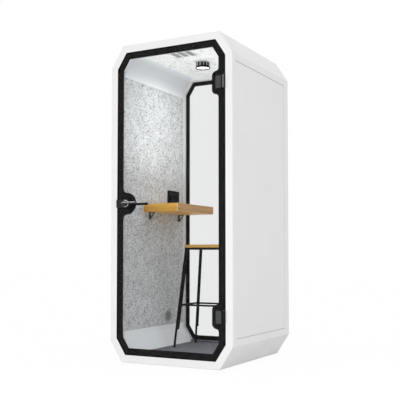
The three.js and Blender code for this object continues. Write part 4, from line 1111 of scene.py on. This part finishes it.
@dataclass
class Fastener:
    """A screw head with a six-sided socket."""

    radius: float
    height: float
    socket_share: float = 0.5
    socket_sides: int = 6

    def make(self, name: str, seat: Vector, outward: Vector) -> bpy.types.Object:
        """Model one screw head.

        Args:
            name: the piece's name.
            seat: the middle of the face that it sits on.
            outward: the way that its head faces.

        Returns:
            The screw head, in place.
        """
        bpy.ops.object.select_all(action="DESELECT")
        bpy.ops.mesh.primitive_cylinder_add(
            vertices=self.socket_sides * 4, radius=self.radius, depth=self.height,
            location=(0, 0, self.height / 2),
        )
        piece = bpy.context.active_object
        piece.name = name
        piece.data.name = name
        Bench.settle(piece)
        Bench.select_faces(piece, lambda face: face.normal.z > 0.9)
        bpy.ops.mesh.inset(thickness=self.radius * 0.22)
        bpy.ops.mesh.inset(thickness=self.radius * (0.78 - self.socket_share))
        bpy.ops.mesh.extrude_region_move(TRANSFORM_OT_translate={"value": (0, 0, -self.height * 0.6)})
        bpy.ops.object.mode_set(mode="OBJECT")
        Bench.round_edges(piece, self.height * 0.15)
        Bench.smooth(piece)
        piece.rotation_euler = outward.to_track_quat("Z", "Y").to_euler()
        piece.location = seat
        Bench.settle(piece)
        return piece


@dataclass
class Lock(SubAssembly):
    """Lock cases, roses, levers, spindle, latch and strike."""

    case_edge: float = 2.0 * MM
    rose_edge: float = 0.5 * MM
    face_level: float = 0.97
    neck_radius: float = 10 * MM
    arm_radius: float = 9.2 * MM
    tip_radius: float = 10 * MM
    tip_steps: tuple[tuple[float, float], ...] = ((0.25, 0.92), (0.2, 0.82), (0.12, 0.7), (0.05, 0.5))
    bend_radius: float = 16 * MM
    bend_steps: int = 10

    def build(self) -> None:
        """Round the cases and roses, paint a dark reflection on the roses' flat faces, and bend the levers."""
        for side, outward in (("outer", -1.0), ("inner", 1.0)):
            self.round_node(f"{side}_lock_case", Body.DOOR, LOCK_GREY, self.case_edge, 3)
            rose = self.round_node(f"{side}_rose", Body.DOOR, CHROME, self.rose_edge)
            # The rose's flat face takes the lock's dark grey: a painted dark reflection on the chrome, leaving
            # its rounded rim bright.
            rose.data.materials.append(LOCK_GREY.material())
            for face in rose.data.polygons:
                if abs(face.normal.y) > self.face_level:
                    face.material_index = 1
            self.build_lever(side, outward)
        self.round_node("latch_bolt", Body.LATCH, STEEL, 0.6 * MM)
        self.round_node("strike_plate", Body.CABIN, STEEL, 0.4 * MM)
        self.dress("lever_spindle", STEEL)

    def build_lever(self, side: str, outward: float) -> None:
        """Model one lever as a drawn bar: a neck, a bend and a tapered arm.

        Args:
            side: outer or inner.
            outward: the sign of Y that leads away from the glass.
        """
        low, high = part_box(f"{side}_lever")
        axis_x = low.x + self.neck_radius
        level = (low.z + high.z) / 2
        seat = high.y if outward < 0 else low.y
        plane = low.y + self.neck_radius if outward < 0 else high.y - self.neck_radius
        bend_start = plane - outward * self.bend_radius
        bpy.ops.object.select_all(action="DESELECT")
        bpy.ops.mesh.primitive_circle_add(
            vertices=ROUND_SIDES, radius=self.neck_radius, fill_type="NGON",
            location=(axis_x, seat, level), rotation=(math.pi / 2, 0, 0),
        )
        piece = bpy.context.active_object
        piece.name = f"{side}_lever_bar"
        piece.data.name = piece.name
        Bench.settle(piece)
        bpy.ops.object.mode_set(mode="EDIT")
        bpy.ops.mesh.select_mode(type="FACE")
        bpy.ops.mesh.select_all(action="SELECT")
        bpy.ops.mesh.extrude_region_move(TRANSFORM_OT_translate={"value": (0, bend_start - seat, 0)})
        bpy.ops.mesh.spin(
            steps=self.bend_steps, angle=outward * math.pi / 2, axis=(0, 0, 1),
            center=(axis_x + self.bend_radius, bend_start, level),
        )
        arm = high.x - self.tip_radius * sum(step for step, _ in self.tip_steps) - (axis_x + self.bend_radius)
        waist = self.arm_radius / self.neck_radius
        for scale in (waist, self.tip_radius / self.arm_radius):
            bpy.ops.mesh.extrude_region_move(TRANSFORM_OT_translate={"value": (arm / 2, 0, 0)})
            bpy.ops.transform.resize(value=(1.0, scale, scale))
        for step, scale in self.tip_steps:
            bpy.ops.mesh.extrude_region_move(TRANSFORM_OT_translate={"value": (self.tip_radius * step, 0, 0)})
            bpy.ops.transform.resize(value=(1.0, scale, scale))
        bpy.ops.mesh.select_all(action="SELECT")
        bpy.ops.mesh.remove_doubles(threshold=MERGE_DISTANCE)
        bpy.ops.mesh.normals_make_consistent(inside=False)
        bpy.ops.object.mode_set(mode="OBJECT")
        Bench.smooth(piece)
        self.place(piece, Body.LEVERS, LEVER_BLACK, [f"{side}_lever"])


@dataclass
class Desk(SubAssembly):
    """Wall desk of golden wood on two braced brackets."""

    edge: float = 2.5 * MM
    bracket_edge: float = 0.8 * MM
    strut_depth: float = 7 * MM
    strut_spread: float = 1.6
    upright_level: float = 0.5
    side_level: float = 0.9

    def build(self) -> None:
        """Round the top, band its long edge, paint a highlight down its rounded front corner and press the
        brackets into shape.
        """
        top = self.round_node("desk_top", Body.CABIN, GOLDEN_WOOD, self.edge, 3)
        top.data.materials.append(EDGE_WOOD.material())
        top.data.materials.append(CORNER_PAINTED_HIGHLIGHT.material())
        # Faces on the rounded corner between front and side get the paler wood, a painted highlight.
        for face in top.data.polygons:
            upright = abs(face.normal.z) < self.upright_level
            if upright and face.normal.x > self.side_level:
                face.material_index = 1
            elif upright and face.normal.x > 1 - self.side_level:
                face.material_index = 2
        for name in ("front", "rear"):
            self.build_bracket(f"{name}_desk_bracket")

    def build_bracket(self, node: str) -> None:
        """Spread a bracket's strut into a plate against the wall.

        Args:
            node: the bracket.
        """
        low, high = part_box(node)
        piece = Bench.copy_node(node, f"{node}_pressed")
        Bench.select_faces(piece, lambda face: False)
        bpy.ops.mesh.select_mode(type="VERT")
        bpy.ops.object.mode_set(mode="OBJECT")
        for point in piece.data.vertices:
            point.select = point.co.x < low.x + self.strut_depth
        bpy.ops.object.mode_set(mode="EDIT")
        bpy.ops.transform.resize(value=(1.0, self.strut_spread, 1.0), center_override=(low + high) / 2)
        bpy.ops.object.mode_set(mode="OBJECT")
        Bench.round_edges(piece, self.bracket_edge)
        Bench.smooth(piece)
        self.place(piece, Body.CABIN, BRACKET_BLACK, [node])


@dataclass
class SocketPanel(SubAssembly):
    """Black wall panel with two round outlets, a rocker switch and small ports."""

    edge: float = 1.0 * MM
    outlet_radius: float = 18.6 * MM
    outlet_floor: float = 7.0 * MM
    liner_depth: float = 1.2 * MM
    pin_radius: float = 2.6 * MM
    pin_spacing: float = 19 * MM

    def build(self) -> None:
        """Round the panel and switch, and line the outlets."""
        self.round_node("socket_panel", Body.CABIN, BLACK_PLASTIC, self.edge)
        self.round_node("rocker_switch", Body.SWITCH, BLACK_PLASTIC, self.edge)
        self.dress("socket_box", GREY_PLASTIC)
        low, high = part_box("socket_panel")
        level = (low.z + high.z) / 2
        for name, offset in (("front", 32 * MM), ("rear", 84 * MM)):
            seat = Vector((high.x - self.outlet_floor, low.y + offset, level))
            self.build_outlet(name, seat)

    def build_outlet(self, name: str, seat: Vector) -> None:
        """Model one outlet's floor with its two contact tubes.

        Args:
            name: front or rear.
            seat: the middle of the recess's floor.
        """
        bpy.ops.object.select_all(action="DESELECT")
        bpy.ops.mesh.primitive_cylinder_add(
            vertices=ROUND_SIDES, radius=self.outlet_radius, depth=self.liner_depth,
            location=seat + Vector((self.liner_depth / 2, 0, 0)), rotation=(0, math.pi / 2, 0),
        )
        floor = bpy.context.active_object
        Bench.settle(floor)
        Bench.select_faces(floor, lambda face: face.normal.x > 0.9)
        bpy.ops.mesh.inset(thickness=self.outlet_radius * 0.12)
        bpy.ops.mesh.extrude_region_move(TRANSFORM_OT_translate={"value": (-self.liner_depth * 0.5, 0, 0)})
        bpy.ops.object.mode_set(mode="OBJECT")
        parts = [floor]
        for side in (-0.5, 0.5):
            bpy.ops.object.select_all(action="DESELECT")
            bpy.ops.mesh.primitive_cylinder_add(
                vertices=ROUND_SIDES // 2, radius=self.pin_radius * 1.35, depth=self.liner_depth,
                location=seat + Vector((self.liner_depth, side * self.pin_spacing, 0)),
                rotation=(0, math.pi / 2, 0),
            )
            tube = bpy.context.active_object
            Bench.settle(tube)
            Bench.select_faces(tube, lambda face: face.normal.x > 0.9)
            bpy.ops.mesh.inset(thickness=self.pin_radius * 0.35)
            bpy.ops.mesh.extrude_region_move(TRANSFORM_OT_translate={"value": (-self.liner_depth * 0.8, 0, 0)})
            bpy.ops.object.mode_set(mode="OBJECT")
            parts.append(tube)
        outlet = Bench.unite(f"{name}_outlet_floor", parts)
        Bench.smooth(outlet)
        self.place(outlet, Body.CABIN, BLACK_PLASTIC)


@dataclass
class Ventilation(SubAssembly):
    """Air inlet grilles in the left wall, the extractor fan and the mesh in the ceiling slots."""

    edge: float = 0.6 * MM
    blade_edge: float = 0.3 * MM
    slot_pitch: float = 60 * MM
    cover_width: float = 42 * MM
    cover_length: float = 120 * MM
    mesh_cell: float = 4 * MM
    mesh_wire: float = 1.9 * MM
    mesh_drop: float = 1.2 * MM

    def build(self) -> None:
        """Round the grilles and dress the fan."""
        for node in ("inlet_grille", "inlet_outer_grille"):
            self.round_node(node, Body.CABIN, GREY_PLASTIC, self.edge)
        self.dress("fan_housing", BLACK_PLASTIC)
        self.round_node("fan_rotor", Body.FAN, BLACK_PLASTIC, self.blade_edge)
        fan_low, fan_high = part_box("fan_housing")
        middle = (fan_low + fan_high) / 2
        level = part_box("ceiling_panel")[0].z - self.mesh_drop
        for name, step in (("left", -1), ("middle", 0), ("right", 1)):
            self.build_mesh(name, Vector((middle.x + step * self.slot_pitch, middle.y, level)))

    def build_mesh(self, name: str, place: Vector) -> None:
        """Weave the wire mesh that covers one ceiling slot.

        Args:
            name: which slot.
            place: the middle of the mesh.
        """
        cells_x = round(self.cover_width / self.mesh_cell)
        cells_y = round(self.cover_length / self.mesh_cell)
        bpy.ops.object.select_all(action="DESELECT")
        bpy.ops.mesh.primitive_grid_add(
            x_subdivisions=cells_x, y_subdivisions=cells_y, size=1.0, location=place,
        )
        mesh = bpy.context.active_object
        mesh.name = f"{name}_slot_mesh"
        mesh.data.name = mesh.name
        mesh.scale = (self.cover_width, self.cover_length, 1.0)
        Bench.settle(mesh)
        wires = mesh.modifiers.new("wires", "WIREFRAME")
        wires.thickness = self.mesh_wire
        bpy.ops.object.modifier_apply(modifier=wires.name)
        self.place(mesh, Body.CABIN, MESH_GREY)


@dataclass
class Lamp(SubAssembly):
    """Finned ceiling lamp with a lit opal cover."""

    edge: float = 0.8 * MM
    painted_light_reach: float = 46 * MM
    bezel_height: float = 9 * MM
    rim_wall: float = 4.0 * MM
    rim_height: float = 6.5 * MM
    rim_spread: float = 3.0 * MM
    rim_gap: float = 0.1 * MM

    def build(self) -> None:
        """Round the lamp's body, paint its neck and fin flanks white, partly a white mounting ring and partly
        painted light for the glints between the fins, and light its cover.
        """
        body = self.round_node("lamp_body", Body.CABIN, BLACK_METAL, self.edge)
        body.data.materials.append(SHELL_WHITE.material())
        low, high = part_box("lamp_body")
        middle = (low + high) / 2
        for face in body.data.polygons:
            out = Vector((face.center.x - middle.x, face.center.y - middle.y)).length
            # Neck and fin flanks turn white: partly a mounting ring, partly painted light between the fins.
            if face.center.z > low.z + self.bezel_height and out < self.painted_light_reach:
                face.material_index = 1
        self.round_node("lamp_diffuser", Body.CABIN, OPAL, 0.4 * MM)
        self.build_rim(Vector((middle.x, middle.y, low.z)), (high.x - low.x) / 2 + self.rim_spread)

    def build_rim(self, seat: Vector, radius: float) -> None:
        """Turn the rim that hangs below the bezel, round the cover.

        Args:
            seat: the middle of the bezel's lower face.
            radius: the rim's outer radius.
        """
        bpy.ops.object.select_all(action="DESELECT")
        bpy.ops.mesh.primitive_cylinder_add(
            vertices=ROUND_SIDES * 2, radius=radius, depth=self.rim_height, end_fill_type="NOTHING",
            location=seat - Vector((0, 0, self.rim_height / 2 + self.rim_gap)),
        )
        rim = bpy.context.active_object
        rim.name = "lamp_rim"
        rim.data.name = rim.name
        Bench.settle(rim)
        wall = rim.modifiers.new("wall", "SOLIDIFY")
        wall.thickness = self.rim_wall
        bpy.ops.object.modifier_apply(modifier=wall.name)
        Bench.round_edges(rim, self.edge)
        Bench.smooth(rim)
        self.place(rim, Body.CABIN, BLACK_METAL)


@dataclass
class Stool(SubAssembly):
    """Bar stool: wooden seat, bar frame, double-rod legs and a footrest."""

    seat_edge: float = 3.0 * MM
    frame_edge: float = 1.5 * MM
    leg_inset: float = 7 * MM
    leg_radius: float = 8.6 * MM
    brace_radius: float = 6.5 * MM
    brace_across: float = 14 * MM
    brace_deep: float = 6.2 * MM
    brace_foot: float = 145 * MM
    lug_radius: float = 8.0 * MM
    lug_overhang: float = 0.33
    glide_height: float = 7 * MM
    glide_margin: float = 1.0 * MM
    glide_lift: float = 0.2 * MM
    rest_radius: float = 7.0 * MM
    rest_bend: float = 14 * MM

    def build(self) -> None:
        """Round the seat and its frame, and draw the rods."""
        self.round_node("stool_seat", Body.STOOL, SEAT_WOOD, self.seat_edge, 3)
        self.round_node("stool_seat_frame", Body.STOOL, BLACK_METAL, self.frame_edge)
        for end, side_y in (("front", -1), ("rear", 1)):
            for side, side_x in (("left", -1), ("right", 1)):
                self.build_leg(f"stool_leg_{end}_{side}", side_x, side_y)
        self.build_footrest()

    def build_leg(self, node: str, side_x: int, side_y: int) -> None:
        """Draw one leg from its two rods, the lug that joins them and its glide.

        Args:
            node: the leg's node.
            side_x: -1 on the left, 1 on the right.
            side_y: -1 in front, 1 behind.
        """
        low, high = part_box(node)
        frame_low, frame_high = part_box("stool_seat_frame")
        head = Vector((
            frame_high.x - self.leg_inset if side_x > 0 else frame_low.x + self.leg_inset,
            frame_high.y - self.leg_inset if side_y > 0 else frame_low.y + self.leg_inset,
            high.z,
        ))
        foot = Vector((
            high.x - self.leg_radius if side_x > 0 else low.x + self.leg_radius,
            high.y - self.leg_radius if side_y > 0 else low.y + self.leg_radius,
            low.z,
        ))
        brace = Vector((-side_x * self.brace_across, -side_y * self.brace_deep, 0))
        over = brace * self.lug_overhang
        knee = foot.lerp(head, self.brace_foot / (head.z - foot.z))
        ankle = foot.lerp(head, self.glide_height / (head.z - foot.z))
        sole = foot + Vector((0, 0, self.glide_lift))
        parts = [
            Bench.rod(f"{node}_rod", ankle, head, self.leg_radius),
            Bench.rod(f"{node}_brace", knee + brace, head + brace, self.brace_radius),
            Bench.rod(f"{node}_lug", knee - over, knee + brace + over, self.lug_radius),
            Bench.rod(f"{node}_glide", sole, ankle, self.leg_radius + self.glide_margin),
        ]
        leg = Bench.unite(f"{node}_rods", parts)
        Bench.smooth(leg)
        self.place(leg, Body.STOOL, BLACK_METAL, [node])

    def build_footrest(self) -> None:
        """Bend the footrest's round bar into a ring."""
        low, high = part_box("stool_footrest")
        middle = (low + high) / 2
        size = high - low - Vector((1, 1, 1)) * 2 * self.rest_radius
        bpy.ops.object.select_all(action="DESELECT")
        bpy.ops.mesh.primitive_plane_add(size=1.0, location=middle)
        ring = bpy.context.active_object
        ring.scale = (size.x, size.y, 1.0)
        Bench.settle(ring)
        bpy.ops.object.mode_set(mode="EDIT")
        bpy.ops.mesh.select_all(action="SELECT")
        bpy.ops.mesh.delete(type="ONLY_FACE")
        bpy.ops.mesh.select_all(action="SELECT")
        bpy.ops.mesh.bevel(affect="VERTICES", offset=self.rest_bend, segments=8)
        bpy.ops.object.mode_set(mode="OBJECT")
        bpy.ops.object.convert(target="CURVE")
        ring.data.bevel_depth = self.rest_radius
        ring.data.bevel_resolution = 6
        ring.data.use_fill_caps = False
        bpy.ops.object.convert(target="MESH")
        ring = bpy.context.active_object
        ring.name = "stool_footrest_ring"
        ring.data.name = ring.name
        bpy.ops.object.mode_set(mode="EDIT")
        bpy.ops.mesh.select_all(action="SELECT")
        bpy.ops.mesh.remove_doubles(threshold=MERGE_DISTANCE)
        bpy.ops.mesh.normals_make_consistent(inside=False)
        bpy.ops.object.mode_set(mode="OBJECT")
        Bench.smooth(ring)
        self.place(ring, Body.STOOL, BLACK_METAL, ["stool_footrest"])


@dataclass
class Studio:
    """Pale floor, white surround, soft lamps and the camera."""

    floor_size: float = 60.0
    floor_drop: float = 0.5 * MM
    floor_colour: Colour = (0.7, 0.7, 0.7)
    floor_glow: float = 0.88
    floor_white: float = 1.045
    world_level: float = 0.91
    camera_place: tuple[float, float, float] = (2.6671, -4.9507, 0.7653)
    camera_yaw: float = 28.5402
    camera_pitch: float = 2.7629
    lens: float = 66.7624
    frame_lift: float = 0.0496
    key_place: tuple[float, float, float] = (1.0, -5.2, 1.1)
    key_size: float = 3.0
    key_power: float = 45.0
    front_place: tuple[float, float, float] = (1.15, -2.7, 0.35)
    front_aim: tuple[float, float, float] = (0.3, -0.5, 0.4)
    front_size: float = 1.0
    front_power: float = 6.0
    side_place: tuple[float, float, float] = (0.38, 0.05, 1.28)
    side_size: tuple[float, float] = (1.5, 0.84)
    side_power: float = 1.5
    fills: tuple[tuple[str, tuple[float, float, float], float, float], ...] = (
        ("lower_fill", (0.12, -0.10, 0.34), 0.20, 2.7),
        ("desk_fill", (-0.05, -0.06, 1.26), 0.12, 1.05),
    )
    card_place: tuple[float, float, float] = (-2.8, -2.85, 4.1)
    card_size: float = 3.0
    card_power: float = 400.0
    links: tuple[tuple[str, tuple[str, ...], str], ...] = (
        ("reflection_card", ("outer_lever_bar", "outer_rose_rounded"), "INCLUDE"),
        ("desk_fill", ("left_felt_panel_rounded",), "INCLUDE"),
        ("ceiling_fill", ("right_felt_panel_rounded",), "EXCLUDE"),
        ("cabin_light", ("desk_top_rounded",), "EXCLUDE"),
    )
    ceiling_place: tuple[float, float, float] = (0.15, -0.10, 1.35)
    ceiling_size: float = 0.45
    ceiling_power: float = 4.6
    lamp_power: float = 2.5
    lamp_size: float = 0.09
    lamp_gap: float = 6 * MM

    def build(self) -> None:
        """Set up the stage."""
        bpy.context.scene.view_settings.view_transform = "Standard"
        self.build_world()
        self.build_floor()
        self.build_lamps()
        self.build_camera()

    @staticmethod
    def seen_rays(sheet: NodeSheet) -> bpy.types.NodeSocket:
        """Find the rays that look at the surround, straight, in a mirror or through glass.

        Args:
            sheet: the node sheet that needs them.

        Returns:
            An output of 1 on those rays and 0 on rays that carry light.
        """
        rays = sheet.add("ShaderNodeLightPath")
        mirrored = sheet.add("ShaderNodeMath", {
            0: rays.outputs["Is Glossy Ray"], 1: rays.outputs["Is Transmission Ray"],
        }, operation="MAXIMUM")
        seen = sheet.add("ShaderNodeMath", {
            0: rays.outputs["Is Camera Ray"], 1: mirrored.outputs["Value"],
        }, operation="MAXIMUM")
        return seen.outputs["Value"]

    def build_world(self) -> None:
        """Make the surround: white to look at, even light on the object."""
        world = bpy.data.worlds.new("studio_surround")
        world.use_nodes = True
        world.node_tree.nodes.clear()
        sheet = NodeSheet(world.node_tree)
        light = sheet.add("ShaderNodeBackground", {"Color": (1, 1, 1, 1), "Strength": self.world_level})
        white = sheet.add("ShaderNodeBackground", {"Color": (1, 1, 1, 1), "Strength": 1.0})
        mix = sheet.add("ShaderNodeMixShader", {
            0: self.seen_rays(sheet), 1: light.outputs["Background"], 2: white.outputs["Background"],
        })
        sheet.add("ShaderNodeOutputWorld", {"Surface": mix.outputs["Shader"]})
        bpy.context.scene.world = world

    def build_floor(self) -> None:
        """Lay the pale floor, which keeps a soft shadow."""
        bpy.ops.object.select_all(action="DESELECT")
        bpy.ops.mesh.primitive_plane_add(size=self.floor_size, location=(0, 0, -self.floor_drop))
        floor = bpy.context.active_object
        floor.name = "studio_floor"
        material = bpy.data.materials.new("studio_floor")
        material.use_nodes = True
        material.node_tree.nodes.clear()
        sheet = NodeSheet(material.node_tree)
        matt = sheet.add("ShaderNodeBsdfDiffuse", {"Color": (*self.floor_colour, 1.0)})
        glow = sheet.add("ShaderNodeEmission", {"Color": (1, 1, 1, 1), "Strength": self.floor_white})
        share = sheet.add("ShaderNodeMath", {0: self.seen_rays(sheet), 1: self.floor_glow}, operation="MULTIPLY")
        mix = sheet.add("ShaderNodeMixShader", {
            0: share.outputs["Value"], 1: matt.outputs["BSDF"], 2: glow.outputs["Emission"],
        })
        sheet.add("ShaderNodeOutputMaterial", {"Surface": mix.outputs["Shader"]})
        floor.data.materials.append(material)

    def build_lamps(self) -> None:
        """Hang the soft key light, and light the cabin from its own lamp."""
        low, high = CAD_BOX
        self.area_lamp("key_light", Vector(self.key_place), (low + high) / 2, self.key_size, self.key_power)
        self.area_lamp(
            "front_fill", Vector(self.front_place), Vector(self.front_aim), self.front_size, self.front_power
        )
        lamp_low, lamp_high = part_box("lamp_diffuser")
        middle = (lamp_low + lamp_high) / 2
        place = Vector((middle.x, middle.y, lamp_low.z - self.lamp_gap))
        self.area_lamp("cabin_light", place, place - Vector((0, 0, 1)), self.lamp_size, self.lamp_power)
        bounce = Vector(self.ceiling_place)
        self.area_lamp(
            "ceiling_fill", bounce, bounce + Vector((0, 0, 1)), self.ceiling_size, self.ceiling_power
        )
        side = Vector(self.side_place)
        panel = self.area_lamp("side_fill", side, side - Vector((1, 0, 0)), self.side_size[0], self.side_power)
        panel.data.shape = "RECTANGLE"
        panel.data.size_y = self.side_size[1]
        lever_low, lever_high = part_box("outer_lever")
        card = self.area_lamp(
            "reflection_card", Vector(self.card_place), (lever_low + lever_high) / 2, self.card_size,
            self.card_power,
        )
        card.visible_glossy = True
        card.visible_diffuse = False
        for name, place, radius, power in self.fills:
            light = bpy.data.lights.new(name, "POINT")
            light.shadow_soft_size = radius
            light.energy = power
            self.hang(light, Vector(place))

    def link_lamps(self) -> None:
        """Keep some lamps to a few pieces, and shade the pieces that stand close to a lamp."""
        for lamp, pieces, state in self.links:
            self.link(lamp, pieces, state)

    @staticmethod
    def link(lamp: str, pieces: Iterable[str], state: str) -> None:
        """Say which pieces a lamp lights.

        Args:
            lamp: the lamp's name.
            pieces: the names of the pieces.
            state: INCLUDE to light these alone, EXCLUDE to light all but these.
        """
        receivers = bpy.data.collections.new(f"{lamp}_receivers")
        for name in pieces:
            receivers.objects.link(bpy.data.objects[name])
        for entry in receivers.collection_objects:
            entry.light_linking.link_state = state
        bpy.data.objects[lamp].light_linking.receiver_collection = receivers

    @staticmethod
    def hang(light: bpy.types.Light, place: Vector) -> bpy.types.Object:
        """Hang a lamp that lights the object but isn't seen.

        Args:
            light: the lamp's settings.
            place: where it hangs.

        Returns:
            The lamp.
        """
        lamp = bpy.data.objects.new(light.name, light)
        lamp.location = place
        lamp.visible_camera = False
        lamp.visible_glossy = False
        lamp.visible_transmission = False
        bpy.context.scene.collection.objects.link(lamp)
        return lamp

    @staticmethod
    def area_lamp(name: str, place: Vector, aim: Vector, size: float, power: float) -> bpy.types.Object:
        """Add a round soft lamp that the camera doesn't see.

        Args:
            name: the lamp's name.
            place: where it hangs.
            aim: the point that it faces.
            size: its diameter.
            power: its power in watts.

        Returns:
            The lamp.
        """
        light = bpy.data.lights.new(name, "AREA")
        light.shape = "DISK"
        light.size = size
        light.energy = power
        lamp = Studio.hang(light, place)
        lamp.rotation_euler = (aim - place).to_track_quat("-Z", "Y").to_euler()
        return lamp

    def build_camera(self) -> None:
        """Stand the camera at the viewing angle."""
        lens = bpy.data.cameras.new("view")
        lens.lens = self.lens
        lens.shift_y = self.frame_lift
        camera = bpy.data.objects.new("view", lens)
        camera.location = self.camera_place
        camera.rotation_euler = (math.radians(90 + self.camera_pitch), 0, math.radians(self.camera_yaw))
        bpy.context.scene.collection.objects.link(camera)
        bpy.context.scene.camera = camera


def main() -> None:
    """Build the stage and every sub-assembly in order."""
    logging.basicConfig(level=logging.INFO, format="%(name)s: %(message)s")
    studio = Studio()
    studio.build()
    assemblies: list[SubAssembly] = [
        Shell(), Lining(), Glazing(), Hinges(), Lock(), Desk(), SocketPanel(), Ventilation(), Lamp(), Stool(),
    ]
    for assembly in assemblies:
        assembly.build()
    studio.link_lamps()


if __name__ == "__main__":
    main()
